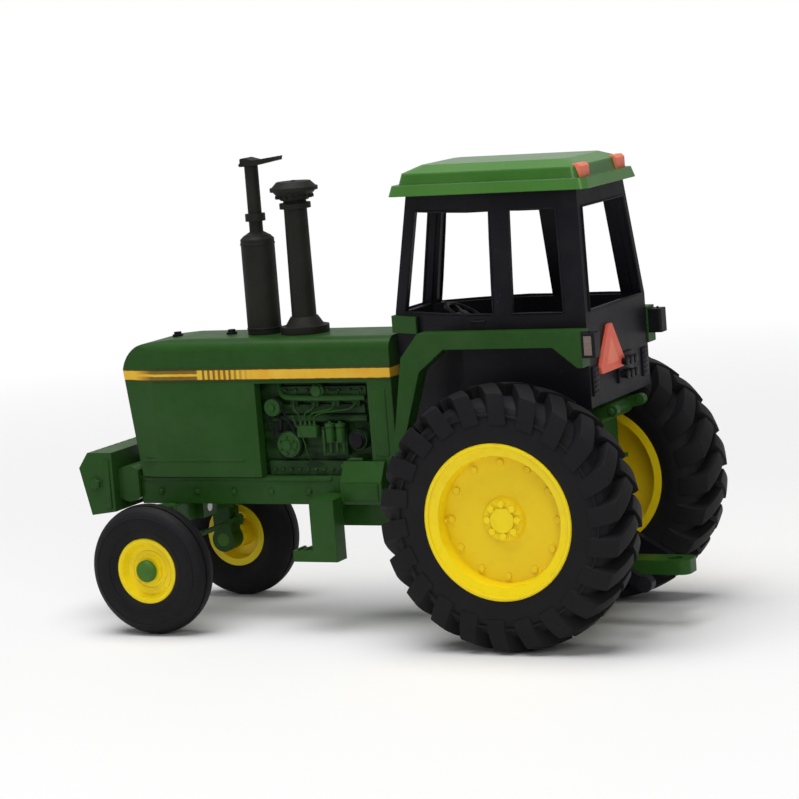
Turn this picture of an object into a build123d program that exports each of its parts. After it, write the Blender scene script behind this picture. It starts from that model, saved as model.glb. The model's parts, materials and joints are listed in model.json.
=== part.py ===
from build123d import *
from math import atan2, cos, degrees, radians, sin, sqrt
import os

# Toy row-crop tractor with a cab, at one sixty-fourth of full size. Millimetres, +X to the front,
# +Y to the left, +Z up. Every piece is laid out from the rear axle (X = 0) and the ground (Z = 0),
# and moves along X only when it is written, so that the origin is under the middle of the length.

# ---------------------------------------------------------------- driving dimensions
# wheels
wheelbase = 44.2
rear_track = 25.0            # middle of one rear tyre to the other
front_track = 20.0
rear_tyre_r = 13.75          # over the lugs
rear_tyre_width = 7.0
rear_lug_height = 1.25
rear_lug_width = 1.5
rear_lug_slant = 36          # degrees from straight across the tread
rear_lug_overlap = 0.15      # how far the lugs of one side pass the middle of the tread
rear_lug_count = 22          # on each side of the tread
rear_seat_r = 7.4            # where tyre and rim meet
rear_flange_r = 8.1
rear_lip_inset = 0.3         # rim's outer face inside the tyre's
rear_inner_inset = 0.8
rear_inner_lip = 0.4
rear_lip_width = 1.35        # broad bevelled lip round the dish
rear_lip_slope = 0.35
rear_dish_depth = 1.8
rear_disc_thick = 0.7
rear_hub_r = 2.15
rear_hub_proud = 0.45        # hub's face before the disc
rear_cap_r = 1.3
rear_cap_proud = 0.7
rear_bore_past = 0.1         # bore's blind end beyond the disc, under the cap
rear_stud_count = 12
rear_stud_circle_r = 5.85
rear_stud_r = 0.38
rear_stud_proud = 0.2
front_tyre_r = 7.17
front_tyre_width = 4.0
front_rib_gap = 0.22         # width of each groove between the tread ribs
front_seat_r = 3.2
front_flange_r = 3.6
front_lip_inset = 0.6
front_dish_depth = 0.7
front_hub_proud = 0.35
front_disc_thick = 0.6
front_hub_r = 1.55
flange_thick = 0.3           # rolled edge of all rims

# axles and fits
rear_axle_r = 1.0
front_pin_r = 0.75
pin_head_r = 1.2
pin_head_thick = 0.55
running_clearance = 0.05     # radial, of each turning fit
side_play = 0.25             # gap beside each turning hub
kingpin_r = 0.55

# chassis casting, heights measured from the rear axle
belly_drop = 2.75            # axle down to the gearbox belly
rail_drop = 0.55             # axle down to the underside of the rails
rail_depth = 3.1
rail_half = 3.9
gearbox_front = 24.2
gearbox_half = 4.2
rail_front_gap = 4.2         # front axle to the rails' front end
axle_tube_r = 3.1
axle_collar_r = 3.9
axle_collar_half = 5.8
tail_length = 5.8            # rear axle to the back of the casting
tail_half = 3.4

# hood casting, with the engine under it
hood_gap = 0.8               # cab front to the hood
hood_height = 17.65          # rear axle to the hood's top
hood_half = 4.7
hood_nose = 5.3              # front axle to the foremost edge of the nose
nose_rake = 1.6              # how far the grille's foot lies behind its top
nose_drop = 3.2              # hood's top to the foremost edge
nose_run = 3.5               # length of the curved brow
brow_drop = 0.3              # hood's top to the start of the brow
brow_slope_run = 3.0         # gentle slope before the brow
hood_corner_r = 1.5
nose_taper = 0.9             # each side, towards the front
nose_taper_run = 4.6
band_top = 14.5              # painted band, from the rear axle
band_depth = 1.35
band_proud = 0.12
rear_panel_length = 2.9      # hood's rear edge to the engine bay
bay_length = 13.6
bay_top = 12.8               # from the rear axle
hood_core_half = 3.1
hood_core_wall = 1.2
engine_half = 3.4

# engine, along from the bay's rear edge and up from the deck
pocket_rear = 1.4            # how far the engine reaches under the hood behind the bay
pocket_front = 0.8
engine_core_half = 2.8
engine_root = 0.1            # how deep the fittings start inside the core
engine_slabs = (             # place, length, rise, height, beyond the engine's side
    (0.6, 12.6, 0.0, 1.6, 0.0),
    (1.2, 10.6, 6.7, 1.0, -0.2),
    (0.8, 10.4, 8.7, 1.0, 0.0),
    (3.4, 3.0, 2.2, 3.1, 0.3),
)
engine_discs = (             # place, rise, radius, beyond the engine's side
    (2.0, 3.9, 1.1, 0.5),
    (10.4, 3.4, 1.5, 0.4),
    (12.0, 7.5, 1.0, 0.2),
)
port_count = 4
port_place = 1.6
port_pitch = 2.5
port_width = 0.9
port_rise = 7.5
port_height = 1.8
port_proud = 0.1
rail_pipe_r = 0.42           # long pipe on each side
rail_pipe_length = 11.4
rail_pipe_place = 6.5
rail_pipe_rise = 6.2

# grille
grille_half = 3.0
grille_recess = 0.45
grille_thick = 0.7
grille_border_top = 1.3
grille_border_foot = 1.0
slat_count = 9
slat_thick = 0.45

# stacks on the hood
muffler_place = 17.2         # hood's rear edge to the middle of the muffler
muffler_r = 1.85
muffler_height = 10.7
pipe_r = 0.75
pipe_height = 7.6            # above the muffler
pipe_collar_r = 1.1
pipe_collar_rise = 1.6
pipe_collar_height = 0.8
pipe_foot_height = 0.45
muffler_bevel = 0.35
flap_length = 4.3
flap_half = 0.95
flap_thick = 0.6
flap_lift = 0.45
intake_place = 12.2
intake_r = 1.3
intake_height = 14.4
intake_foot_r = 2.65
cleaner_r = 2.6
cleaner_height = 2.0
cap_r = 0.42                 # fuel and radiator caps
cap_flange_r = 0.6
cap_height = 0.5
cap_flange_thick = 0.22
radiator_cap_place = 0.2     # ahead of the front axle
filler_cap_gap = 2.3         # muffler's side to the filler's middle

# front weights
weight_gap = 6.8             # front axle to the back of the weights
weight_length = 4.3
weight_half = 5.6
weight_height = 7.0
weight_rise = 5.4            # rear axle up to the top of the weights
weight_count = 8
weight_groove = 0.25
weight_boss_r = 2.0
weight_nose = 1.2            # length of the bevelled front

# front axle
beam_half_width = 0.95
beam_depth = 2.1
boss_r = 1.3
boss_proud = 0.3
knuckle_thick = 2.1
knuckle_half = 1.1
knuckle_eye_r = 1.4
ear_thick = 1.0

# cab
cab_gap = 0.9                # cab side to the rear tyre
cab_rear = 7.95              # rear axle to the back wall
cab_front = 15.4
cab_shoulder = 6.0           # where the sides start to draw in
cab_nose_half = 3.9
cab_lean = 1.8               # sides lean in by this at the top
cab_rear_lean = 0.85
cab_front_lean = 2.0
cab_wall = 0.9
cab_floor_rise = 10.3        # rear axle to the cab's underside
toe_box_rise = 3.3
toe_box_rear = 10.2
floor_thick = 0.9
sill_rise = 1.5              # top of the fender to the window sills
window_height = 10.6
header_height = 1.8
rear_post = 2.3
centre_post_rear = 0.25
centre_post = 1.9
centre_post_lean = 0.35
front_post = 1.3
rear_window_edge = 1.0       # width of the corner posts seen from behind

# roof
roof_overhang = 0.85
roof_rear = 8.5
roof_front = 13.9
roof_lip = 1.1
roof_tier = 1.2
roof_crown = 0.7
roof_flare = 0.3             # each tier draws in by this as it rises
tier_inset_side = 0.55
tier_inset_end = 1.0
crown_inset_side = 1.6
crown_inset_end = 1.6
roof_corner_r = 0.9
roof_lamp_y = 4.8            # middle of the tractor to the middle of each roof lamp
roof_lamp_half = 1.15
roof_lamp_rise = 0.2         # above the tier
roof_lamp_depth = 0.9
roof_lamp_proud = 0.12

# fenders
fender_gap = 3.1             # top of the tyre to the fender's underside
fender_thick = 1.7
fender_width = 2.0
fender_rear = 8.1
fender_front = 10.1
fender_foot_rise = 6.2       # rear axle to the foot of the front leg
fender_leg_thick = 1.0
fender_shoulder_run = 2.1    # top's front end to the corner of the leg
fender_shoulder_drop = 2.5
fender_tail_run = 3.2        # length and depth of the wedge under the rear end
fender_tail_drop = 2.1
fender_tail_flat = 0.6
arch_gap = 0.5
arch_corner_run = 2.9
arch_corner_drop = 2.3
lamp_box_depth = 1.4
lamp_box_height = 2.5
lamp_box_inset = 0.25        # between the box and the cab's side
lamp_box_drop = 0.3          # below the fender's top
lamp_box_bevel = 0.2
lens_border = 0.28
lens_thick = 0.3

# fittings
cowl_thick = 0.4
cowl_rise = 1.2              # above the fender's top
cowl_drop = 0.6              # below it
cowl_length = 3.2            # along the tractor, behind the cab's front
triangle_side = 6.6
triangle_thick = 0.35
triangle_y = 2.6
triangle_drop = 1.8          # sill to the apex
triangle_tip = 0.9
seat_x = -1.0                # rear axle to the middle of the seat
seat_half = 2.3
seat_base_half = 1.5
seat_base_height = 2.6
cushion_thick = 1.4
backrest_thick = 1.1
backrest_lean = 0.8
armrest_width = 0.8
armrest_low = 3.0            # above the cab's floor
armrest_height = 3.0
armrest_length = 3.6
under_sill = 0.3             # top of the backrest below the window sills
console_half = 2.4
console_length = 2.6
console_inset = 0.9          # cab's front wall to the console
console_drop = 1.9           # below the sills
wheel_ring_r = 1.9
wheel_wire_r = 0.28
wheel_gap = 1.6              # console to the middle of the steering wheel
wheel_under_sill = 0.7
wheel_drop = 3.4             # middle of the wheel down to the column's foot
wheel_tilt = 28              # degrees
spoke_width = 0.4
spoke_thick = 0.3
wheel_boss_r = 0.55
column_r = 0.4
box_place = 1.3              # hood's rear edge to the back of the side boxes
box_rise = 1.8               # how far the boxes stand above the deck
box_length = 4.9
box_depth = 4.5
box_width = 2.1
box_bevel = 0.35             # bevel along the box's lower outer edge
box_slope_run = 1.2          # the box's top slopes in by this
box_slope_drop = 2.0
step_length = 2.9
step_proud = 0.2             # beyond the cab's side
step_width = 2.2
step_drop = 5.95             # rear axle down to the tread's underside
step_arm_rise = 1.3          # above the rails' underside
tread_length = 5.3
tread_thick = 1.2
drawbar_tip = 14.6
drawbar_half = 1.6
drawbar_low = 5.6
drawbar_thick = 1.5
hanger_inset = 0.3           # drawbar's hanger ahead of the tail's back
hanger_front = 1.0           # rear axle back to the hanger's front
hitch_hole_r = 0.8
hitch_hole_inset = 2.0
link_y = 4.9
link_thick = 0.9
link_depth = 1.2
link_tip_inset = 3.4         # drawbar's tip to the ball ends
link_tip_drop = 0.8          # below the drawbar's underside
link_eye_r = 0.85
link_eye_proud = 0.15
rockshaft_r = 1.1
rockshaft_half = 4.2
rockshaft_arm_thick = 1.0
rockshaft_arm_run = 2.1
rockshaft_arm_rise = 0.4
rockshaft_gap = 0.2          # under the cab
rivet_r = 0.8
rivet_head_r = 1.5
rivet_head_thick = 0.5

# ---------------------------------------------------------------- places worked out from the sizes
axle_z = rear_tyre_r
front_z = front_tyre_r
belly_z = axle_z - belly_drop
rail_z = axle_z - rail_drop
deck_z = rail_z + rail_depth
chassis_front = wheelbase + rail_front_gap
hood_rear = cab_front + hood_gap
hood_top = axle_z + hood_height
nose_x = wheelbase + hood_nose
nose_z = hood_top - nose_drop
band_high = axle_z + band_top
band_low = band_high - band_depth
bay_rear = hood_rear + rear_panel_length
bay_front = bay_rear + bay_length
bay_roof = axle_z + bay_top
muffler_x = hood_rear + muffler_place
intake_x = hood_rear + intake_place
box_rear = hood_rear + box_place
step_rear = box_rear + box_length
weight_rear = wheelbase + weight_gap
weight_front = weight_rear + weight_length
weight_top = axle_z + weight_rise
weight_low = weight_top - weight_height
cab_half = rear_track / 2 - rear_tyre_width / 2 - cab_gap
cab_low = axle_z + cab_floor_rise
toe_low = axle_z + toe_box_rise
fender_low = axle_z + rear_tyre_r + fender_gap
fender_top = fender_low + fender_thick
fender_outer = cab_half + fender_width
sill_z = fender_top + sill_rise
header_z = sill_z + window_height
cab_top = header_z + header_height
rear_tube_end = rear_track / 2 - rear_tyre_width / 2 - cab_gap + side_play
rear_axle_end = rear_track / 2 + rear_tyre_width / 2 - rear_lip_inset - rear_dish_depth
knuckle_outer = front_track / 2 - front_tyre_width / 2 - side_play
kingpin_y = knuckle_outer - boss_r
beam_low = rail_z - beam_depth
span_middle = (weight_front - drawbar_tip) / 2


# ---------------------------------------------------------------- small makers
def keep(name, shape):
    """Write one piece, moved so that the tractor is centred on the origin."""
    os.makedirs("parts", exist_ok=True)
    solids = [Pos(-span_middle, 0, 0) * solid for solid in shape.solids()]
    export_step(Compound(solids) if len(solids) > 1 else solids[0], f"parts/{name}.step")


def block(x0, x1, y0, y1, z0, z1):
    """A box between two corners."""
    size = (x1 - x0, y1 - y0, z1 - z0)
    return Pos((x0 + x1) / 2, (y0 + y1) / 2, (z0 + z1) / 2) * Box(*size)


def side_plate(points, y0, y1):
    """A side view, as (x, z) points, given its width from y0 to y1."""
    face = make_face(Polyline(*[(x, y0, z) for x, z in points], close=True))
    return extrude(face, amount=y1 - y0, dir=(0, 1, 0))


def front_plate(points, x0, x1):
    """A front view, as (y, z) points, given its length from x0 to x1."""
    face = make_face(Polyline(*[(x0, y, z) for y, z in points], close=True))
    return extrude(face, amount=x1 - x0, dir=(1, 0, 0))


def plan_plate(points, z0, z1):
    """A plan, as (x, y) points, given its height from z0 to z1."""
    face = make_face(Polyline(*[(x, y, z0) for x, y in points], close=True))
    return extrude(face, amount=z1 - z0, dir=(0, 0, 1))


def upright(x, y, z0, z1, r0, r1=None):
    """A round post or cone standing at (x, y)."""
    r1 = r0 if r1 is None else r1
    if r0 == r1:
        return Pos(x, y, (z0 + z1) / 2) * Cylinder(r0, z1 - z0)
    return Pos(x, y, (z0 + z1) / 2) * Cone(r0, r1, z1 - z0)


def crossbar(x, z, y0, y1, r):
    """A round bar lying along Y."""
    return Pos(x, (y0 + y1) / 2, z) * Rot(90, 0, 0) * Cylinder(r, y1 - y0)


def turned(points):
    """A wheel section, as (radius, width) points, turned about the Y axis."""
    face = make_face(Polyline(*[(r, y, 0) for r, y in points], close=True))
    return revolve(face, Axis.Y, 360)


def mirrored(shape):
    """The same piece for the other side."""
    return mirror(shape, about=Plane.XZ)


def both_sides(shape):
    return Compound(shape.solids() + mirrored(shape).solids())


# ---------------------------------------------------------------- wheels
def tyre_ring(tyre_r, width, shoulder, shoulder_drop, seat_r, outer_lip, inner_lip):
    """Tyre with bulged sides and a crowned tread; each lip is a rim flange, as (radius, face)."""
    half = width / 2
    bulge_r = (seat_r + tyre_r) / 2
    edge = (tyre_r - shoulder_drop, half - shoulder)
    outer_r, outer_y = outer_lip
    inner_r, inner_y = inner_lip
    back = flange_thick - inner_y
    front = outer_y - flange_thick
    bead = Polyline((inner_r, -inner_y, 0), (inner_r, back, 0), (seat_r, back, 0), (seat_r, front, 0),
                    (outer_r, front, 0), (outer_r, outer_y, 0))
    outer_wall = ThreePointArc((outer_r, outer_y, 0), (bulge_r, half, 0), (edge[0], edge[1], 0))
    crown = ThreePointArc((edge[0], edge[1], 0), (tyre_r, 0, 0), (edge[0], -edge[1], 0))
    inner_wall = ThreePointArc((edge[0], -edge[1], 0), (bulge_r, -half, 0), (inner_r, -inner_y, 0))
    return revolve(make_face(bead + outer_wall + crown + inner_wall), Axis.Y, 360)


def rear_tyre():
    """Carcass with two rows of slanting lugs that meet near the middle of the tread."""
    half = rear_tyre_width / 2
    lips = (rear_flange_r, half - rear_lip_inset), (rear_seat_r + rear_inner_lip, half - rear_inner_inset)
    carcass_r = rear_tyre_r - rear_lug_height
    carcass = tyre_ring(carcass_r, rear_tyre_width - 0.2, 0.75, 0.75, rear_seat_r, *lips)
    envelope = tyre_ring(rear_tyre_r, rear_tyre_width, 0.45, 0.6, rear_seat_r, *lips)
    lug_length = half / cos(radians(rear_lug_slant)) + rear_lug_width
    bar = Rot(0, 0, rear_lug_slant) * Box(rear_lug_width, lug_length, 4 * rear_lug_height)
    bar = Pos(0, lug_length * cos(radians(rear_lug_slant)) / 2 - rear_lug_overlap, carcass_r) * bar
    lugs = []
    for n in range(rear_lug_count):
        turn = 360 * n / rear_lug_count
        lugs.append(Rot(0, turn, 0) * bar)
        lugs.append(Rot(0, turn + 180 / rear_lug_count, 0) * mirrored(bar))
    core = crossbar(0, 0, -half, half, carcass_r - 2 * rear_lug_height)
    return carcass + ((Compound(lugs) & envelope) - core)


def rear_rim():
    """Deep dished disc wheel, its outer face at +Y, bored for the axle from the inside."""
    half = rear_tyre_width / 2
    lip = half - rear_lip_inset
    disc = lip - rear_dish_depth
    inner = rear_inner_inset - half
    inner_r = rear_seat_r + rear_inner_lip
    hub_end = rear_tube_end + side_play - rear_track / 2
    hub_face = disc + rear_hub_proud
    cap_face = disc + rear_cap_proud
    wall_r = rear_flange_r - rear_lip_width
    rim = turned([
        (0, cap_face), (rear_cap_r, cap_face), (rear_cap_r, hub_face), (rear_hub_r, hub_face),
        (rear_hub_r + 0.2, disc), (wall_r - 0.25, disc), (wall_r, lip - rear_lip_slope),
        (rear_flange_r - 0.15, lip), (rear_flange_r, lip),
        (rear_flange_r, lip - flange_thick), (rear_seat_r, lip - flange_thick),
        (rear_seat_r, inner + flange_thick), (inner_r, inner + flange_thick), (inner_r, inner),
        (rear_seat_r - 0.5, inner),
        (rear_seat_r - 0.9, disc - rear_disc_thick), (rear_hub_r - 0.4, disc - rear_disc_thick),
        (rear_hub_r - 0.6, hub_end), (0, hub_end),
    ])
    for n in range(rear_stud_count):
        turn = Rot(0, 360 * n / rear_stud_count, 0)
        rim += turn * crossbar(rear_stud_circle_r, 0, disc - 0.1, disc + rear_stud_proud, rear_stud_r)
    return rim - crossbar(0, 0, hub_end - 1, disc + rear_bore_past, rear_axle_r)


def front_tyre():
    """Smooth ribbed tyre with two grooves round the tread."""
    lip = (front_flange_r, front_tyre_width / 2 - front_lip_inset)
    tyre = tyre_ring(front_tyre_r, front_tyre_width, 0.55, 0.6, front_seat_r, lip, lip)
    for y in (-front_tyre_width / 6, front_tyre_width / 6):
        low = front_tyre_r - 0.4
        high = front_tyre_r + 1
        side = front_rib_gap / 2
        tyre -= turned([(low, y - side), (high, y - side), (high, y + side), (low, y + side)])
    return tyre


def front_rim():
    """Small dished wheel with a hub that runs on its pin."""
    lip = front_tyre_width / 2 - front_lip_inset
    disc = lip - front_dish_depth
    inner = -lip
    hub_end = knuckle_outer + side_play - front_track / 2
    rim = turned([
        (0, disc + front_hub_proud), (front_hub_r, disc + front_hub_proud), (front_hub_r + 0.1, disc),
        (front_seat_r - 0.5, disc),
        (front_seat_r - 0.1, lip), (front_flange_r, lip), (front_flange_r, lip - flange_thick),
        (front_seat_r, lip - flange_thick), (front_seat_r, inner + flange_thick),
        (front_flange_r, inner + flange_thick), (front_flange_r, inner), (front_seat_r - 0.4, inner),
        (front_seat_r - 0.5, disc - front_disc_thick), (front_hub_r, disc - front_disc_thick),
        (front_hub_r - 0.1, hub_end), (0, hub_end),
    ])
    return rim - crossbar(0, 0, hub_end - 1, lip + 1, front_pin_r + running_clearance)


def front_pin():
    """Headed pin: pressed into the knuckle, free in the wheel."""
    disc = front_tyre_width / 2 - front_lip_inset - front_dish_depth
    head = front_track / 2 + disc + front_hub_proud + side_play
    shank = crossbar(0, 0, knuckle_outer - knuckle_thick, head, front_pin_r)
    cap = crossbar(0, 0, head, head + pin_head_thick, pin_head_r)
    cap = chamfer(cap.faces().sort_by(Axis.Y)[-1].edges(), pin_head_thick / 2)
    return Pos(wheelbase, 0, front_z) * (shank + cap)


# ---------------------------------------------------------------- front axle
def front_beam():
    """Cross beam with an upright boss at each end for the kingpins, and a hole for its pivot pin."""
    back = wheelbase - beam_half_width
    front = wheelbase + beam_half_width
    beam = block(back, front, -kingpin_y, kingpin_y, beam_low, rail_z)
    for side in (-1, 1):
        y = side * kingpin_y
        beam += upright(wheelbase, y, beam_low - boss_proud, rail_z + boss_proud, boss_r)
        beam -= upright(wheelbase, y, beam_low - 1, rail_z + 1, kingpin_r)
    return beam - pivot_bar(beam_half_width + 1)


def pivot_bar(half_length):
    """The pin that holds the beam under the rails, lying along X."""
    bar = Rot(0, 90, 0) * Cylinder(kingpin_r, 2 * half_length)
    return Pos(wheelbase, 0, beam_low + beam_depth / 2) * bar


def knuckle():
    """Upright under the beam's boss, with an eye for the wheel pin and a kingpin on top."""
    low = beam_low - boss_proud
    inner = knuckle_outer - knuckle_thick
    body = block(wheelbase - knuckle_half, wheelbase + knuckle_half, inner, knuckle_outer, front_z, low)
    body += crossbar(wheelbase, front_z, inner, knuckle_outer, knuckle_eye_r)
    body += upright(wheelbase, kingpin_y, low - 0.5, rail_z + boss_proud, kingpin_r)
    return body - crossbar(wheelbase, front_z, inner - 1, knuckle_outer + 1, front_pin_r)


# ---------------------------------------------------------------- chassis
def rivet_places():
    """Plan position and height of each rivet under the chassis."""
    return [((gearbox_front + toe_box_rear) / 2, belly_z), (wheelbase - 6.0, rail_z)]


def chassis():
    """Rails, gearbox, rear axle tube and tail, cast in one."""
    body = block(gearbox_front - 1, chassis_front, -rail_half, rail_half, rail_z, deck_z)
    body += block(-tail_length, gearbox_front, -gearbox_half, gearbox_half, belly_z, deck_z)
    body += side_plate([(-tail_length, deck_z), (toe_box_rear - 1.2, deck_z), (toe_box_rear - 1.2, toe_low),
                        (toe_box_rear - 3.0, cab_low), (-tail_length, cab_low)], -tail_half, tail_half)
    body += crossbar(0, axle_z, -rear_tube_end, rear_tube_end, axle_tube_r)
    body += crossbar(0, axle_z, -axle_collar_half, axle_collar_half, axle_collar_r)
    for x in (wheelbase - beam_half_width - ear_thick, wheelbase + beam_half_width):
        body += block(x, x + ear_thick, -1.5, 1.5, beam_low, rail_z)
    for x, z in rivet_places():
        body -= upright(x, 0, z - 1, z + 2, rivet_r)
    body -= pivot_bar(beam_half_width + ear_thick)
    return body - crossbar(0, axle_z, -rear_tube_end - 1, rear_tube_end + 1, rear_axle_r + running_clearance)


def rivets():
    parts = []
    for x, z in rivet_places():
        head = upright(x, 0, z - rivet_head_thick, z, rivet_head_r - 0.5, rivet_head_r)
        parts.append(head + upright(x, 0, z - 0.1, z + 2, rivet_r))
    return Compound([solid for part in parts for solid in part.solids()])


def side_boxes():
    """Tank and battery boxes on the gearbox sides, with tops that slope in."""
    high = deck_z + box_rise
    low = high - box_depth
    outer = gearbox_half + box_width
    section = [(gearbox_half, low), (outer - box_bevel, low), (outer, low + box_bevel),
               (outer, high - box_slope_drop), (outer - box_slope_run, high), (gearbox_half, high)]
    box = front_plate(section, box_rear, step_rear)
    return both_sides(box - block(box_rear - 1, step_rear + 1, 0, hood_half + band_proud, deck_z, high + 1))


def step():
    """Cab step on the left: a post under the rail with a tread that reaches forward."""
    outer = cab_half + step_proud
    inner = outer - step_width
    low = axle_z - step_drop
    top = rail_z + step_arm_rise
    post = block(step_rear, step_rear + step_length, inner, outer, low, top)
    tread = block(step_rear, step_rear + tread_length, inner, outer, low, low + tread_thick)
    arm = block(step_rear, step_rear + step_length, rail_half, inner, rail_z, top)
    body = arm - block(-tail_length, gearbox_front, -gearbox_half, gearbox_half, belly_z, deck_z)
    return post + tread + body


# ---------------------------------------------------------------- engine
def engine():
    """Block, head and fittings in relief, standing on the deck under the hood."""
    rear = bay_rear - pocket_rear
    front = bay_front + pocket_front
    body = block(rear, front, -engine_core_half, engine_core_half, deck_z, bay_roof)
    inner = engine_core_half - engine_root
    fittings = list(engine_slabs)
    for n in range(port_count):
        fittings.append((port_place + port_pitch * n, port_width, port_rise, port_height, port_proud))
    relief = []
    for place, length, rise, height, proud in fittings:
        x = bay_rear + place
        z = deck_z + rise
        relief += block(x, x + length, inner, engine_half + proud, z, z + height).solids()
    for place, rise, r, proud in engine_discs:
        relief += crossbar(bay_rear + place, deck_z + rise, inner, engine_half + proud, r).solids()
    bar = Rot(0, 90, 0) * Cylinder(rail_pipe_r, rail_pipe_length)
    relief += (Pos(bay_rear + rail_pipe_place, engine_half, deck_z + rail_pipe_rise) * bar).solids()
    side = Compound(relief)
    return body + side + mirrored(side)


# ---------------------------------------------------------------- hood
brow_start = (nose_x - nose_run, hood_top - brow_drop)


def nose_line(depth):
    """Front line of the nose in side view, set back by depth: top point, then foot."""
    return (nose_x - depth, nose_z), (nose_x - nose_rake - depth, deck_z)


def rake_at(z):
    """How far the raked front lies behind its foremost edge at a height."""
    return nose_rake * (nose_z - z) / (nose_z - deck_z)


def hood():
    """Hood casting: curved brow, raked nose, painted band, an engine bay through it, cored from below."""
    foot = nose_line(0)[1]
    brow_x, brow_z = brow_start
    path = Polyline((foot[0], 0, foot[1]), (hood_rear, 0, foot[1]), (hood_rear, 0, hood_top),
                    (brow_x - brow_slope_run, 0, hood_top), (brow_x, 0, brow_z))
    bend = (nose_x - 0.27 * nose_run, 0, brow_z - 0.42 * (brow_z - nose_z))
    brow = ThreePointArc((brow_x, 0, brow_z), bend, (nose_x, 0, nose_z))
    rake = Line((nose_x, 0, nose_z), (foot[0], 0, foot[1]))
    side_view = extrude(make_face(path + brow + rake), amount=hood_half + 1, both=True, dir=(0, 1, 0))
    front_view = Plane.YZ * Pos(0, (hood_top + deck_z) / 2) * Rectangle(2 * hood_half, hood_top - deck_z)
    front_view = fillet(front_view.vertices().group_by(Axis.Z)[-1], hood_corner_r)
    body = side_view & (Pos(hood_rear - 1, 0, 0) * extrude(front_view, amount=nose_x, dir=(1, 0, 0)))
    band = block(hood_rear, nose_x + 1, -hood_half - band_proud, hood_half + band_proud, band_low, band_high)
    body += band & side_view
    wide = hood_half + band_proud
    taper_x = nose_x - nose_taper_run
    tip = wide - nose_taper
    plan = [(hood_rear - 1, -wide), (taper_x, -wide), (nose_x, -tip), (nose_x, tip), (taper_x, wide),
            (hood_rear - 1, wide)]
    body &= plan_plate(plan, 0, hood_top + 1)
    body -= block(bay_rear, bay_front, -wide - 1, wide + 1, deck_z - 1, bay_roof)
    rear = bay_rear - pocket_rear
    front = bay_front + pocket_front
    body -= block(rear, front, -engine_half, engine_half, deck_z - 1, bay_roof)
    core_front = nose_x - nose_rake - hood_core_wall - grille_recess - grille_thick
    core_top = hood_top - 2 * hood_core_wall
    body -= block(bay_front, core_front, -hood_core_half, hood_core_half, deck_z - 1, core_top)
    return body - grille_slab(-1, grille_recess + grille_thick)


def grille_slab(depth0, depth1):
    """A raked slab behind the nose between two depths, inside the grille opening."""
    high = nose_z - grille_border_top
    low = deck_z + grille_border_foot
    points = [(nose_x - rake_at(low) - depth1, low), (nose_x - rake_at(low) - depth0, low),
              (nose_x - rake_at(high) - depth0, high), (nose_x - rake_at(high) - depth1, high)]
    return side_plate(points, -grille_half, grille_half)


def grille():
    """Grille screen with level slats in front."""
    screen = grille_slab(grille_recess, grille_recess + grille_thick)
    high = nose_z - grille_border_top
    low = deck_z + grille_border_foot
    pitch = (high - low) / (slat_count + 1)
    for n in range(1, slat_count + 1):
        z = low + n * pitch
        x = nose_x - rake_at(z) - grille_recess
        front = x + slat_thick / 2
        screen += block(x - 0.2, front, -grille_half, grille_half, z - slat_thick / 2, z + slat_thick / 2)
    return screen & grille_slab(0, grille_recess + grille_thick)


def hood_caps():
    """Radiator and filler caps on top of the hood, each on its flange."""
    brow_x, brow_z = brow_start
    slope_x = brow_x - brow_slope_run
    under = hood_top - 2
    outline = [(hood_rear, under), (hood_rear, hood_top), (slope_x, hood_top), (brow_x, brow_z),
               (brow_x, under)]
    top = side_plate(outline, -hood_half, hood_half)
    caps = []
    for x in (wheelbase + radiator_cap_place, muffler_x + muffler_r + filler_cap_gap):
        low = hood_top - brow_drop * max(0, x - slope_x) / brow_slope_run
        cap = upright(x, 0, low - 0.2, low + cap_flange_thick, cap_flange_r)
        cap += upright(x, 0, low - 0.2, low + cap_height, cap_r)
        caps += (cap - top).solids()
    return Compound(caps)


# ---------------------------------------------------------------- stacks
muffler_top = hood_top + muffler_height
pipe_top = muffler_top + pipe_height


def muffler():
    body = upright(muffler_x, 0, hood_top, muffler_top, muffler_r)
    return chamfer(body.faces().sort_by(Axis.Z)[-1].edges(), muffler_bevel)


def exhaust_pipe():
    """Pipe on a cone over the muffler, with a clamp collar low down."""
    pipe = upright(muffler_x, 0, muffler_top, pipe_top, pipe_r)
    collar_z = muffler_top + pipe_collar_rise
    pipe += upright(muffler_x, 0, collar_z, collar_z + pipe_collar_height, pipe_collar_r)
    foot_top = muffler_top + pipe_foot_height
    return pipe + upright(muffler_x, 0, muffler_top, foot_top, muffler_r - muffler_bevel, pipe_r)


def rain_flap():
    """Lid on the pipe's mouth, hinged in front and lifted at the back."""
    front = muffler_x + pipe_r + 0.1
    back = muffler_x - pipe_r
    tip = front - flap_length
    thin = 0.75 * flap_thick
    high = pipe_top + flap_thick
    points = [(front, pipe_top), (back, pipe_top), (tip + 0.1, pipe_top + flap_lift),
              (tip, pipe_top + flap_lift + thin), (back, high), (front - 0.5, high + 0.3),
              (front, high + 0.15)]
    return side_plate(points, -flap_half, flap_half)


intake_top = hood_top + intake_height


def intake_stack():
    """Air intake: stepped foot, straight stack and a top collar."""
    stack = upright(intake_x, 0, hood_top, hood_top + 0.8, intake_foot_r)
    stack += upright(intake_x, 0, hood_top + 0.8, hood_top + 1.8, intake_foot_r - 0.5, intake_r + 0.2)
    stack += upright(intake_x, 0, hood_top + 1.8, intake_top, intake_r + 0.05, intake_r - 0.05)
    return stack + upright(intake_x, 0, intake_top - 0.9, intake_top - 0.3, intake_r + 0.4)


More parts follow.
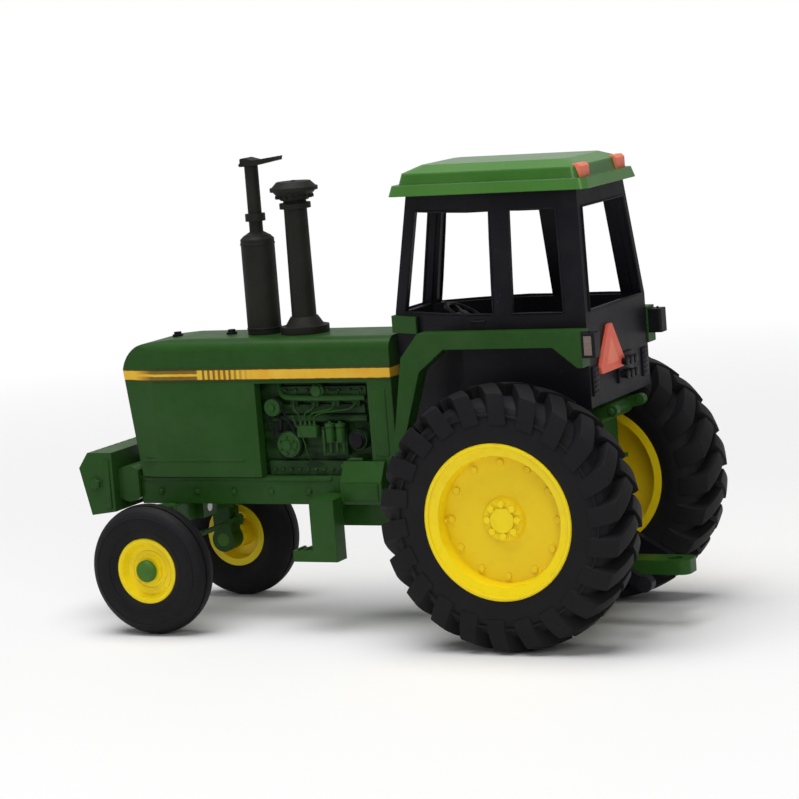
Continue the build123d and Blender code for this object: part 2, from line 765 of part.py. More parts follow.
def pre_cleaner():
    """Mushroom-shaped cap on the intake."""
    z = intake_top
    h = cleaner_height
    cap = upright(intake_x, 0, z, z + 0.5 * h, intake_r + 0.2, cleaner_r - 0.25)
    cap += upright(intake_x, 0, z + 0.5 * h, z + 0.7 * h, cleaner_r)
    return cap + upright(intake_x, 0, z + 0.7 * h, z + h, cleaner_r - 0.15, cleaner_r - 0.75)


# ---------------------------------------------------------------- front weights
def weights():
    """Stack of slab weights cast in one, with grooves between them."""
    x0 = weight_rear
    x1 = weight_front
    outline = [(x0, weight_low + 0.4), (x1 - weight_nose, weight_low), (x1, weight_top - 1.7),
               (x1 - weight_nose, weight_top), (x0, weight_top)]
    body = side_plate(outline, -weight_half, weight_half)
    pitch = 2 * weight_half / weight_count
    inner = x1 - weight_nose - 0.5
    for n in range(1, weight_count):
        y = n * pitch - weight_half
        groove = [(inner, weight_low - 1), (x1 + 1, weight_low - 1), (x1 + 1, weight_top + 1),
                  (inner, weight_top + 1), (inner, weight_top - 0.4), (x1 - 0.5, weight_top - 1.8),
                  (inner, weight_low + 0.4)]
        body -= side_plate(groove, y - weight_groove / 2, y + weight_groove / 2)
    return body


def weight_bracket():
    """Bracket between the chassis and the weights, with a round boss on each side."""
    x = (chassis_front + weight_rear) / 2
    z = rail_z + weight_boss_r + 0.3
    body = block(chassis_front, weight_rear, -rail_half + 0.6, rail_half - 0.6, rail_z + 0.4, deck_z)
    boss = crossbar(x, z, -rail_half - 0.6, rail_half + 0.6, weight_boss_r)
    rooms = block(chassis_front, weight_rear, -weight_half, weight_half, weight_low, weight_top)
    return body + (boss & rooms)


# ---------------------------------------------------------------- cab
def cab_plan(height, inset=0.0):
    """Outline of the cab at a height: upright below the sill, leaning in above it."""
    rise = max(0.0, (height - sill_z) / (cab_top - sill_z))
    side = cab_half - cab_lean * rise - inset
    back = -cab_rear + cab_rear_lean * rise + inset
    front = cab_front - cab_front_lean * rise - inset
    nose = cab_nose_half - 0.5 * rise - inset * 0.75
    shoulder = cab_shoulder - cab_front_lean * rise / 2 - inset * 0.2
    return [(back, -side), (shoulder, -side), (front, -nose), (front, nose), (shoulder, side), (back, side)]


def cab_solid(z0, z1, inset=0.0):
    """Solid between two heights, following the outline."""
    faces = []
    for z in (z0, z1):
        faces.append(make_face(Polyline(*[(x, y, z) for x, y in cab_plan(z, inset)], close=True)))
    return loft(faces, ruled=True)


def cab_shell():
    """One moulding: lower walls with a toe box in front, window sills, posts and header."""
    shell = cab_solid(cab_low, sill_z) - cab_solid(cab_low - 1, sill_z + 1e-3, cab_wall)
    toe_ring = cab_solid(toe_low, cab_low) - cab_solid(toe_low - 1, cab_low + 1, cab_wall)
    shell += toe_ring & block(toe_box_rear, cab_front + 1, -cab_half - 1, cab_half + 1, toe_low, cab_low)
    return shell + upper_walls()


def upper_walls():
    """Leaning walls from the sill to the roof, with the six window openings cut out."""
    walls = cab_solid(sill_z, cab_top) - cab_solid(sill_z - 1e-3, cab_top + 1e-3, cab_wall)
    reach = cab_half + 5
    rise = window_height / (window_height + header_height)
    back = -cab_rear + rear_post
    middle = centre_post_rear + centre_post
    front = cab_front - front_post
    top_back = back + cab_rear_lean * rise
    top_front = front - cab_front_lean * rise
    quarter = [(back, sill_z), (centre_post_rear, sill_z), (centre_post_rear + centre_post_lean, header_z),
               (top_back, header_z)]
    door = [(middle, sill_z), (front, sill_z), (top_front, header_z), (middle + centre_post_lean, header_z)]
    walls -= side_plate(quarter, -reach, reach)
    walls -= side_plate(door, -reach, reach)
    side = cab_half - rear_window_edge
    top_side = side - cab_lean * rise
    walls -= front_plate([(-side, sill_z), (side, sill_z), (top_side, header_z), (-top_side, header_z)],
                         -reach - 5, -1)
    nose = cab_nose_half - 0.9
    walls -= front_plate([(-nose, sill_z), (nose, sill_z), (nose - 0.4, header_z), (0.4 - nose, header_z)],
                         cab_shoulder + 2, cab_front + 5)
    return walls


def cab_floor():
    """Floor inside the cab's walls, standing on the gearbox."""
    return cab_solid(cab_low, cab_low + floor_thick, cab_wall)


floor_z = cab_low + floor_thick


def seat():
    """Driver's seat: pedestal, cushion, backrest and two armrests."""
    low = floor_z + seat_base_height
    high = low + cushion_thick
    top = sill_z - under_sill
    back = seat_x - seat_half
    base = block(seat_x - seat_base_half, seat_x + seat_base_half, -seat_base_half, seat_base_half, floor_z,
                 low)
    cushion = block(back, seat_x + seat_half, -seat_half, seat_half, low, high)
    rest = side_plate([(back, high), (back + backrest_thick, high),
                       (back + backrest_thick - backrest_lean, top), (back - backrest_lean, top)],
                      -seat_half, seat_half)
    arm_z = floor_z + armrest_low
    arm_x = back + under_sill
    arm = block(arm_x, arm_x + armrest_length, seat_half, seat_half + armrest_width, arm_z,
                arm_z + armrest_height)
    return base + cushion + rest + arm + mirrored(arm)


console_front = cab_front - cab_wall - console_inset
console_back = console_front - console_length


def console():
    """Dashboard pedestal behind the windscreen."""
    return block(console_back, console_front, -console_half, console_half, floor_z, sill_z - console_drop)


def steering_wheel():
    """Ring, spokes and column, leaning back towards the seat."""
    ring = Torus(wheel_ring_r, wheel_wire_r)
    for turn in (90, 210, 330):
        spoke = Pos(wheel_ring_r / 2, 0, 0) * Box(wheel_ring_r, spoke_width, spoke_thick)
        ring += Rot(0, 0, turn) * spoke
    ring += Cylinder(wheel_boss_r, spoke_width)
    top_x = console_back - wheel_gap
    top_z = sill_z - wheel_under_sill
    run = console_back - top_x
    tilt = Pos(top_x, 0, top_z) * Rot(0, -wheel_tilt, 0)
    length = sqrt(run ** 2 + wheel_drop ** 2)
    lean = degrees(atan2(run, wheel_drop))
    column = Pos(top_x, 0, top_z) * Rot(0, -lean, 0) * Pos(0, 0, -length / 2) * Cylinder(column_r, length)
    dash = block(console_back, console_front, -console_half, console_half, floor_z, sill_z)
    return tilt * ring + (column - dash)


def cowl():
    """Green skirt round the front of the cab below the windscreen."""
    low = fender_top - cowl_drop
    high = fender_top + cowl_rise
    skirt = cab_solid(low, high, -cowl_thick) - cab_solid(low - 1, high + 0.1)
    return skirt & block(cab_front - cowl_length, cab_front + 2, -cab_half - 2, cab_half + 2, low, high)


# ---------------------------------------------------------------- roof
roof_half = cab_half - cab_lean + roof_overhang
tier_z = cab_top + roof_lip
crown_z = tier_z + roof_tier
roof_top = crown_z + roof_crown


def roof_ring(z, side_inset, end_inset):
    """Outline of the roof at one height."""
    length = roof_rear + roof_front - 2 * end_inset
    middle = (roof_front - roof_rear) / 2
    outline = RectangleRounded(length, 2 * (roof_half - side_inset), roof_corner_r)
    return Pos(middle, 0, z) * outline


def roof_lamp():
    """Lamp block let into the back of the roof's tier, on the left."""
    back = tier_inset_end - roof_rear - roof_lamp_proud
    inner = roof_lamp_y - roof_lamp_half
    outer = roof_lamp_y + roof_lamp_half
    body = block(back, back + roof_lamp_depth, inner, outer, tier_z, crown_z + roof_lamp_rise)
    return chamfer(body.edges().filter_by(Axis.Y).group_by(Axis.X)[0].sort_by(Axis.Z)[-1], roof_flare)


def roof():
    """Roof moulding: flared lip, tier and crown."""
    side = tier_inset_side + roof_flare
    end = tier_inset_end + roof_flare
    lip = loft([roof_ring(cab_top, 0, 0), roof_ring(tier_z, roof_flare, roof_flare)], ruled=True)
    tier_foot = roof_ring(tier_z, tier_inset_side, tier_inset_end)
    tier_head = roof_ring(crown_z, side, end)
    crown_head = roof_ring(roof_top, side + crown_inset_side, end + crown_inset_end)
    tier = loft([tier_foot, tier_head], ruled=True)
    crown = loft([tier_head, crown_head], ruled=True)
    return lip + tier + crown - roof_lamp() - mirrored(roof_lamp())


# ---------------------------------------------------------------- fenders
def fender():
    """Left fender: flat top, cut-corner arch, wedge at the rear and a front leg that follows the tyre."""
    foot_z = axle_z + fender_foot_rise
    foot_x = sqrt((rear_tyre_r + arch_gap) ** 2 - fender_foot_rise ** 2)
    corner_x = fender_front + fender_shoulder_run
    arch_x = corner_x - 2 * fender_leg_thick
    tail_low = fender_low - fender_tail_drop
    outline = [
        (-fender_rear, tail_low), (-fender_rear, fender_top), (fender_front, fender_top),
        (corner_x, fender_top - fender_shoulder_drop), (foot_x + fender_leg_thick, foot_z), (foot_x, foot_z),
        (arch_x, fender_low - arch_corner_drop), (arch_x - arch_corner_run, fender_low),
        (fender_tail_run - fender_rear, fender_low), (fender_tail_flat - fender_rear, tail_low),
    ]
    return side_plate(outline, cab_half, fender_outer)


def fender_lamp():
    """Black lamp box on the back of the left fender."""
    back = -fender_rear - lamp_box_depth
    high = fender_top - lamp_box_drop
    body = block(back, -fender_rear, cab_half + lamp_box_inset, fender_outer, high - lamp_box_height, high)
    body = chamfer(body.edges().filter_by(Axis.Z).group_by(Axis.X)[0], lamp_box_bevel)
    return body - fender_lens()


def fender_lens():
    """Lens set into the outer side of the lamp box."""
    back = -fender_rear - lamp_box_depth
    high = fender_top - lamp_box_drop
    return block(back + lens_border, -fender_rear - lens_border, fender_outer - lens_thick, fender_outer,
                 high - lamp_box_height + lens_border, high - lens_border)


# ---------------------------------------------------------------- rear hitch and emblem
def triangle():
    """Slow-vehicle emblem: a triangle with cut corners on the cab's back wall."""
    height = triangle_side * sqrt(3) / 2
    apex = sill_z - triangle_drop
    base = apex - height + triangle_tip
    half = triangle_side / 2
    tip = triangle_tip / 2
    corner = base + 0.8 * triangle_tip
    points = [(triangle_y - tip, apex), (triangle_y - half, corner), (triangle_y - half + tip, base),
              (triangle_y + half - tip, base), (triangle_y + half, corner), (triangle_y + tip, apex)]
    return front_plate(points, -cab_rear - triangle_thick, -cab_rear)


shaft_x = -tail_length - 0.5 * rockshaft_r
shaft_z = cab_low - rockshaft_r - rockshaft_gap


def rockshaft():
    """Lift shaft across the tail with an arm at each end."""
    shaft = crossbar(shaft_x, shaft_z, -rockshaft_half, rockshaft_half, rockshaft_r)
    inner = rockshaft_half - rockshaft_arm_thick
    tip_x = shaft_x - rockshaft_arm_run
    tip_z = shaft_z + rockshaft_arm_rise
    eye_r = 0.55 * rockshaft_r
    arm = side_plate([(shaft_x, shaft_z - 0.9 * eye_r), (shaft_x, shaft_z + eye_r), (tip_x, tip_z + eye_r),
                      (tip_x, tip_z - eye_r)], inner, rockshaft_half)
    arm += crossbar(tip_x, tip_z, inner, rockshaft_half, eye_r)
    lift = shaft + arm + mirrored(arm)
    return lift - block(-tail_length, 0, -tail_half, tail_half, 0, cab_low)


def lower_links():
    """Lower hitch arms, from lugs under the axle tube to their ball ends."""
    root_x = -hanger_front
    root_z = axle_z - axle_tube_r
    tip_x = link_tip_inset - drawbar_tip
    tip_z = drawbar_low - link_tip_drop
    y0 = link_y - link_thick / 2
    y1 = link_y + link_thick / 2
    arm = side_plate([(root_x, root_z), (root_x - 1.5 * link_depth, root_z + 0.25 * link_depth),
                      (tip_x, tip_z + link_depth), (tip_x, tip_z),
                      (root_x - link_depth, root_z - 1.65 * link_depth), (root_x, root_z - link_depth)],
                     y0, y1)
    arm += crossbar(tip_x, tip_z + link_depth / 2, y0 - link_eye_proud, y1 + link_eye_proud, link_eye_r)
    return both_sides(arm - crossbar(0, axle_z, y0 - 1, y1 + 1, axle_collar_r))


def drawbar():
    """Drawbar with its hanger under the gearbox and a hole for a hitch pin."""
    top = drawbar_low + drawbar_thick
    bar = block(-drawbar_tip, -hanger_front, -drawbar_half, drawbar_half, drawbar_low, top)
    bar = fillet(bar.edges().filter_by(Axis.Z).group_by(Axis.X)[0], drawbar_half * 0.6)
    bar += block(hanger_inset - tail_length, -hanger_front, -drawbar_half, drawbar_half, top, belly_z)
    bar -= crossbar(0, axle_z, -drawbar_half - 1, drawbar_half + 1, axle_collar_r)
    return bar - upright(hitch_hole_inset - drawbar_tip, 0, 0, belly_z, hitch_hole_r)


# ---------------------------------------------------------------- write the pieces
keep("chassis", chassis())
keep("assembly_rivets", rivets())
keep("side_boxes", side_boxes())
keep("cab_step", step())
keep("engine_block", engine())
keep("hood", hood())
keep("grille", grille())
keep("hood_caps", hood_caps())
keep("muffler", muffler())
keep("exhaust_pipe", exhaust_pipe())
keep("rain_flap", rain_flap())
keep("intake_stack", intake_stack())
keep("pre_cleaner", pre_cleaner())
keep("front_weights", weights())
keep("weight_bracket", weight_bracket())
keep("front_axle_beam", front_beam())
keep("axle_pivot_pin", pivot_bar(beam_half_width + ear_thick))
keep("cab_shell", cab_shell())
keep("cab_floor", cab_floor())
keep("seat", seat())
keep("console", console())
keep("steering_wheel", steering_wheel())
keep("cowl", cowl())
keep("roof", roof())
keep("roof_lamps", both_sides(roof_lamp()))
keep("slow_vehicle_triangle", triangle())
keep("rockshaft", rockshaft())
keep("lower_links", lower_links())
keep("drawbar", drawbar())
keep("rear_axle", crossbar(0, axle_z, -rear_axle_end, rear_axle_end, rear_axle_r))

left_rear = Pos(0, rear_track / 2, axle_z)
left_front = Pos(wheelbase, front_track / 2, front_z)
for side, turn in (("left", lambda shape: shape), ("right", mirrored)):
    keep(f"fender_{side}", turn(fender()))
    keep(f"fender_lamp_{side}", turn(fender_lamp()))
    keep(f"fender_lens_{side}", turn(fender_lens()))
    keep(f"knuckle_{side}", turn(knuckle()))
    keep(f"front_pin_{side}", turn(front_pin()))
    keep(f"front_rim_{side}", turn(left_front * front_rim()))
    keep(f"front_tyre_{side}", turn(left_front * front_tyre()))
    keep(f"rear_rim_{side}", turn(left_rear * rear_rim()))
    keep(f"rear_tyre_{side}", turn(left_rear * rear_tyre()))
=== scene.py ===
import json
import math

import bmesh
import bpy
from mathutils import Matrix, Vector


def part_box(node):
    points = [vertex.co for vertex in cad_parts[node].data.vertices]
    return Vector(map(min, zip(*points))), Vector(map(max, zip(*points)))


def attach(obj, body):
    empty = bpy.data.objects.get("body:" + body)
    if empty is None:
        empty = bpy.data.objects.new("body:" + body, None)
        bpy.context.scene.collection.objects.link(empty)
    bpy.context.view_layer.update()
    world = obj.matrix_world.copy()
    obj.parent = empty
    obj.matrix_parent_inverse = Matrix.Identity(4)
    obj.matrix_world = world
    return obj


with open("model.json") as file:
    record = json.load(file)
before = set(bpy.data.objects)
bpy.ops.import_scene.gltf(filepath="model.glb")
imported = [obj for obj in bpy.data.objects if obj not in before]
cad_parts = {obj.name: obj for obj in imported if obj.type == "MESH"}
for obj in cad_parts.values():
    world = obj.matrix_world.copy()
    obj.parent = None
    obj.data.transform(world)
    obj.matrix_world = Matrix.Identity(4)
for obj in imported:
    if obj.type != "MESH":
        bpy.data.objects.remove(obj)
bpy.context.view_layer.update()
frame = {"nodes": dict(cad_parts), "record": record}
nodes = frame["nodes"]

# Toy tractor. Lengths below are in millimetres from the rear axle (X), the middle (Y) and the ground (Z);
# place() turns them into the frame's metres.
MM = 0.001
rear_axle = sum(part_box("rear_axle"), Vector()) / 2
front_pin = sum(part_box("front_pin_left"), Vector()) / 2
AXLE_X = rear_axle.x
REAR_AXLE = (0, 0, rear_axle.z / MM)
FRONT_AXLE = ((front_pin.x - AXLE_X) / MM, 0, front_pin.z / MM)
ROOF_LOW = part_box("roof")[0].z


def place(x, y, z):
    """A point given in millimetres from the rear axle and the ground."""
    return Vector((AXLE_X + x * MM, y * MM, z * MM))


# ------------------------------------------------------------------------------------------ shaders
class Num:
    """A number inside a shader. Arithmetic on it adds Math nodes, with the number as their first input."""

    def __init__(self, tree, socket):
        self.tree = tree
        self.socket = socket

    def maths(self, operation, *values, clamp=False):
        step = self.tree.nodes.new("ShaderNodeMath")
        step.operation = operation
        step.use_clamp = clamp
        for slot, value in zip(step.inputs, (self, *values)):
            if isinstance(value, Num):
                self.tree.links.new(value.socket, slot)
            else:
                slot.default_value = value
        return Num(self.tree, step.outputs[0])

    def __add__(self, other):
        return self.maths("ADD", other)

    def __sub__(self, other):
        return self.maths("SUBTRACT", other)

    def __mul__(self, other):
        return self.maths("MULTIPLY", other)

    def __truediv__(self, other):
        return self.maths("DIVIDE", other)

    def __abs__(self):
        return self.maths("ABSOLUTE")

    def over(self, edge, soft):
        """0 below the edge, 1 above it, with a soft step between."""
        return ((self - edge) / soft).maths("ADD", 0.5, clamp=True)

    def under(self, edge, soft):
        """1 below the edge, 0 above it, with a soft step between."""
        return self.over(edge, soft).maths("MULTIPLY_ADD", -1.0, 1.0)

    def at_most(self, limit):
        return self.maths("MINIMUM", limit)

    def root(self):
        return self.maths("SQRT")

    def folded(self, pitch):
        """Distance to the nearest multiple of twice the pitch."""
        return self.maths("PINGPONG", pitch)


class Finish:
    """One material: a principled surface and the nodes that vary it over the object."""

    def __init__(self, name, colour, roughness, **surface):
        self.material = bpy.data.materials.new(name)
        self.material.use_nodes = True
        self.tree = self.material.node_tree
        self.tree.nodes.clear()
        self.colour = colour
        self.roughness = roughness
        self.normal = None
        self.shader = self.node("ShaderNodeBsdfPrincipled", {}, Roughness=roughness, **surface)
        self.shader.inputs["Base Color"].default_value = (*colour, 1)
        self.material.diffuse_color = (*colour, 1)
        out = self.node("ShaderNodeOutputMaterial", {})
        self.tree.links.new(self.shader.outputs["BSDF"], out.inputs["Surface"])
        self.coords = self.node("ShaderNodeTexCoord", {}).outputs["Object"]
        axes = self.node("ShaderNodeSeparateXYZ", {}, Vector=self.coords)
        self.x, self.y, self.z = (Num(self.tree, axes.outputs[n]) for n in range(3))

    def node(self, kind, settings, **sockets):
        """Adds a node: its settings, then the values or links of its sockets."""
        made = self.tree.nodes.new(kind)
        for key, value in settings.items():
            setattr(made, key, value)
        for key, value in sockets.items():
            slot = made.inputs[key.replace("_", " ")]
            if isinstance(value, Num):
                self.tree.links.new(value.socket, slot)
            elif isinstance(value, bpy.types.NodeSocket):
                self.tree.links.new(value, slot)
            else:
                slot.default_value = value
        return made

    def noise(self, size, detail=2.0, stretch=(1, 1, 1)):
        """Soft noise whose blotches are about the given size in metres."""
        spread = self.node("ShaderNodeMapping", {}, Vector=self.coords, Scale=stretch)
        cloud = self.node("ShaderNodeTexNoise", {}, Vector=spread.outputs[0], Scale=1 / size, Detail=detail)
        return Num(self.tree, cloud.outputs[0])

    def cells(self, size):
        """Distance to the nearest of many scattered points, about the given size apart."""
        cells = self.node("ShaderNodeTexVoronoi", {}, Vector=self.coords, Scale=1 / size)
        return Num(self.tree, cells.outputs["Distance"])

    def blend(self, factor, first, second):
        """Colour between two colours or colour sockets."""
        mix = self.node("ShaderNodeMix", {"data_type": "RGBA"})
        self.tree.links.new(factor.socket, mix.inputs["Factor"])
        for slot, colour in ((mix.inputs[6], first), (mix.inputs[7], second)):
            if isinstance(colour, bpy.types.NodeSocket):
                self.tree.links.new(colour, slot)
            else:
                slot.default_value = (*colour, 1)
        return mix.outputs[2]

    def paint(self, factor, colour):
        """Lays a colour over the base colour where the factor is 1."""
        base = self.shader.inputs["Base Color"]
        under = base.links[0].from_socket if base.links else self.colour
        self.tree.links.new(self.blend(factor, under, colour), base)

    def set(self, socket, value):
        self.tree.links.new(value.socket, self.shader.inputs[socket])

    def relief(self, height, depth):
        """Raises or sinks the surface by up to the depth in metres."""
        bump = self.node("ShaderNodeBump", {}, Strength=1.0, Distance=depth)
        self.tree.links.new(height.socket, bump.inputs["Height"])
        if self.normal is not None:
            self.tree.links.new(self.normal, bump.inputs["Normal"])
        self.normal = bump.outputs["Normal"]
        self.tree.links.new(self.normal, self.shader.inputs["Normal"])

    def soft_edges(self, radius):
        """Rounds sharp edges in the shading, as paint or moulding does."""
        edge = self.node("ShaderNodeBevel", {"samples": 4}, Radius=radius)
        self.normal = edge.outputs["Normal"]
        self.tree.links.new(self.normal, self.shader.inputs["Normal"])


def dust(finish, colour, amount):
    """Fine pale specks and a faint film, as on a handled toy."""
    specks = finish.cells(0.9 * MM).under(0.07, 0.04) * finish.noise(3 * MM).over(0.56, 0.1)
    film = finish.noise(7 * MM, 3).over(0.6, 0.3) * 0.25
    finish.paint((specks + film) * amount, colour)


def enamel(name, colour, light, dark, roughness=0.36, coat=0.06, gloss=0.1, film=0.1):
    """Thick glossy enamel on metal: slight orange peel, uneven tone, rounded edges."""
    finish = Finish(name, colour, roughness, Coat_Weight=coat, Coat_Roughness=0.12, Specular_IOR_Level=gloss)
    finish.soft_edges(0.16 * MM)
    finish.paint(finish.noise(5 * MM, 3).over(0.5, 0.5) * 0.6, light)
    finish.paint(finish.noise(1.4 * MM, 2).over(0.6, 0.3) * 0.35, dark)
    finish.relief(finish.noise(0.5 * MM, 2), 0.012 * MM)
    finish.set("Roughness", finish.noise(2.2 * MM, 2) * 0.16 + (roughness - 0.08))
    dust(finish, (0.3, 0.38, 0.24), film)
    return finish


def moulded(name, colour, light, roughness, grain):
    """Moulded plastic: even colour, fine grain, soft edges."""
    finish = Finish(name, colour, roughness, Specular_IOR_Level=0.11)
    finish.soft_edges(0.12 * MM)
    finish.paint(finish.noise(4 * MM, 3).over(0.5, 0.6) * 0.6, light)
    finish.relief(finish.noise(0.22 * MM, 3), grain * MM)
    finish.set("Roughness", finish.noise(1.5 * MM, 2) * 0.14 + (roughness - 0.07))
    dust(finish, (0.3, 0.3, 0.3), 0.1)
    return finish


GREEN = (0.018, 0.068, 0.01)
GREEN_LIGHT = (0.024, 0.086, 0.015)
GREEN_DARK = (0.012, 0.048, 0.007)
ROOF = (0.028, 0.128, 0.009)
GOLD = (0.82, 0.52, 0.05)
YELLOW = (0.94, 0.71, 0.007)
BLACK = (0.0062, 0.0058, 0.0085)


def hood_paint():
    """Green enamel with the gold band along the hood, thin dark edge lines and a row of plain ticks."""
    finish = enamel("hood_enamel", GREEN, GREEN_LIGHT, GREEN_DARK)
    low = 26.9 * MM
    high = 28.25 * MM
    edge = 0.05 * MM
    gold_half = 0.5 * MM
    waver = 0.12 * MM
    band = finish.z.over(low, edge) * finish.z.under(high, edge)
    wavy = finish.noise(0.8 * MM, 2) * waver - waver / 2
    off_middle = abs(finish.z - (low + high) / 2 + wavy)
    core = off_middle.under(gold_half, 0.09 * MM)
    finish.paint(band, (0.05, 0.05, 0.012))
    finish.paint(band * core, GOLD)
    warm = finish.noise(2.5 * MM, 2).over(0.5, 0.3)
    finish.paint(band * core * warm * 0.5, (0.8, 0.33, 0.02))
    # a darker stretch near the front with a thin gold line in it
    dark_rear = AXLE_X + 39.6 * MM
    dark_front = AXLE_X + 46.6 * MM
    thin_half = 0.13 * MM
    dark = finish.x.over(dark_rear, 0.2 * MM) * finish.x.under(dark_front, 2.2 * MM)
    finish.paint(band * dark * off_middle.over(thin_half, 0.08 * MM) * 0.8, (0.05, 0.045, 0.012))
    # upright ticks behind it
    ticks_rear = AXLE_X + 34.2 * MM
    ticks_front = AXLE_X + 39.3 * MM
    tick_half_step = 0.33 * MM
    tick_half = 0.15 * MM
    ticks = finish.x.folded(tick_half_step).under(tick_half, 0.08 * MM)
    zone = finish.x.over(ticks_rear, 3.0 * MM) * finish.x.under(ticks_front, 0.2 * MM)
    finish.paint(band * zone * ticks * 0.8, (0.06, 0.05, 0.012))
    return finish


def engine_painted_shade():
    """Paint of the engine's castings with painted shade: darker green all over and darker still in blotches,
    standing in for the shade in the recesses of the engine bay.
    """
    finish = enamel("engine_casting_painted_shade", (0.011, 0.04, 0.008), (0.018, 0.064, 0.012), (0.005, 0.017, 0.004),
                    roughness=0.45)
    # painted shade: dark blotches where the recesses of the block would fall into shade
    shade = finish.noise(1.5 * MM, 2, stretch=(0.5, 1, 1.4)).over(0.5, 0.12)
    finish.paint(shade * 0.7, (0.004, 0.011, 0.004))
    return finish


def roof_paint():
    """Roof enamel: deep green on the upright sides, with a painted pale sheen on the crown and a painted
    highlight along the lip.
    """
    # the last argument doubles the dust: real dust, and its pale film also stands in for painted sheen on the
    # roof
    finish = enamel("roof_enamel", ROOF, (0.036, 0.155, 0.013), (0.022, 0.105, 0.007), 0.24, 0.35, 0.2, 0.2)
    lip, tier, crown = (ROOF_LOW + rise * MM for rise in (0, 1.05, 2.2))
    patchy_sheen = finish.noise(6 * MM, 3) * 0.3 + 0.7
    # painted sheen: the crown is paler where the light falls across it, unevenly
    finish.paint(finish.z.over(crown, 0.3 * MM) * patchy_sheen * 0.7, (0.095, 0.27, 0.055))
    # painted highlight on the band between the lip and the tier
    edge = finish.z.over(lip, 0.1 * MM) * finish.z.under(tier, 0.2 * MM)
    finish.paint(edge * patchy_sheen * 0.4, (0.09, 0.25, 0.05))
    return finish


def rubber():
    """Soft black rubber: dull, finely pitted, a little dusty."""
    finish = Finish("tyre_rubber", (0.0085, 0.0078, 0.0092), 0.55, Specular_IOR_Level=0.12)
    finish.soft_edges(0.14 * MM)
    finish.paint(finish.noise(3 * MM, 3).over(0.5, 0.5) * 0.5, (0.0135, 0.0125, 0.014))
    finish.relief(finish.noise(0.3 * MM, 4), 0.03 * MM)
    finish.set("Roughness", finish.noise(1.2 * MM, 3) * 0.2 + 0.48)
    dust(finish, (0.2, 0.19, 0.18), 0.05)
    return finish


def rim_yellow():
    """Bright yellow wheel plastic, with painted shade on the rear rims' sunken discs and inner sides."""
    finish = Finish("rim_yellow", YELLOW, 0.36, Coat_Weight=0.06, Coat_Roughness=0.2, Specular_IOR_Level=0.2)
    finish.soft_edges(0.14 * MM)
    finish.paint(finish.noise(3 * MM, 3).over(0.5, 0.5) * 0.5, (0.95, 0.75, 0.01))
    finish.paint(finish.noise(1.1 * MM, 2).over(0.62, 0.2) * 0.25, (0.8, 0.53, 0.006))
    # painted shade: the rear rims are darker inboard of their disc face, where the dish and the inner side
    # lie in shade
    disc_face = 14.3 * MM
    rear_wheels_end = AXLE_X + 9 * MM
    painted_disc_shade = abs(finish.y).under(disc_face, 0.3 * MM) * finish.x.under(rear_wheels_end, 1 * MM)
    finish.paint(painted_disc_shade * 0.4, (0.8, 0.52, 0.008))
    finish.relief(finish.noise(0.4 * MM, 2), 0.014 * MM)
    finish.set("Roughness", finish.noise(1.6 * MM, 2) * 0.16 + 0.26)
    dust(finish, (0.6, 0.5, 0.2), 0.06)
    return finish


def signal_orange():
    """Orange-red paint of the emblem and the roof lamps, slightly chalky."""
    finish = Finish("signal_orange", (0.88, 0.21, 0.12), 0.42, Specular_IOR_Level=0.2)
    finish.soft_edges(0.1 * MM)
    finish.paint(finish.noise(1.6 * MM, 3).over(0.5, 0.4) * 0.5, (0.9, 0.3, 0.2))
    finish.relief(finish.noise(0.25 * MM, 3), 0.012 * MM)
    return finish


def emblem():
    """The rear triangle: bright orange-red middle inside a deeper red border."""
    finish = signal_orange()
    low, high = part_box("slow_vehicle_triangle")
    middle = (low.y + high.y) / 2
    to_side = math.radians(30)
    lean = abs(finish.y - middle) * math.cos(to_side) + (finish.z - low.z) * math.sin(to_side)
    edge = 0.12 * MM
    border_out = 1.75 * MM
    border_up = low.z + 0.75 * MM
    border = lean.over(border_out, edge) + finish.z.under(border_up, edge)
    finish.paint(border.at_most(1.0) * 0.7, (0.76, 0.1, 0.065))
    finish.material.name = "emblem_orange"
    return finish


def lens_brown():
    """Smoky lens with fine level ribs."""
    finish = Finish("lens_brown", (0.17, 0.12, 0.1), 0.25, Coat_Weight=0.3, Specular_IOR_Level=0.5)
    half_step = 0.11 * MM
    finish.relief(finish.z.folded(half_step) / half_step, 0.03 * MM)
    finish.paint(finish.noise(1 * MM, 2).over(0.5, 0.4) * 0.5, (0.22, 0.15, 0.11))
    return finish


def zinc():
    """Plain plated steel with fine scratches along X."""
    finish = Finish("zinc", (0.5, 0.5, 0.5), 0.35, Metallic=1.0)
    finish.soft_edges(0.08 * MM)
    scratch = finish.noise(0.3 * MM, 3, stretch=(0.1, 1, 1))
    finish.set("Roughness", scratch * 0.3 + 0.2)
    finish.relief(scratch, 0.006 * MM)
    finish.paint(finish.noise(1.5 * MM, 2).over(0.55, 0.3) * 0.5, (0.34, 0.34, 0.35))
    return finish


def lamp_glass():
    """Clear lamp glass with fine upright ribs, over a pale reflector."""
    finish = Finish("lamp_glass", (0.62, 0.64, 0.62), 0.18, Coat_Weight=0.6, Coat_Roughness=0.05)
    half_step = 0.12 * MM
    finish.relief(finish.y.folded(half_step) / half_step, 0.03 * MM)
    finish.paint(finish.noise(0.8 * MM, 2).over(0.5, 0.4) * 0.4, (0.45, 0.47, 0.45))
    return finish


def dial():
    """Gauge face: black with short pale ticks above and below the middle."""
    finish = Finish("dial", (0.01, 0.01, 0.011), 0.3, Coat_Weight=0.4)
    ticks = finish.y.folded(0.11 * MM).under(0.03 * MM, 0.02 * MM)
    finish.paint(ticks * finish.z.folded(0.3 * MM).over(0.16 * MM, 0.04 * MM), (0.55, 0.55, 0.5))
    finish.relief(finish.noise(0.2 * MM, 2), 0.006 * MM)
    return finish


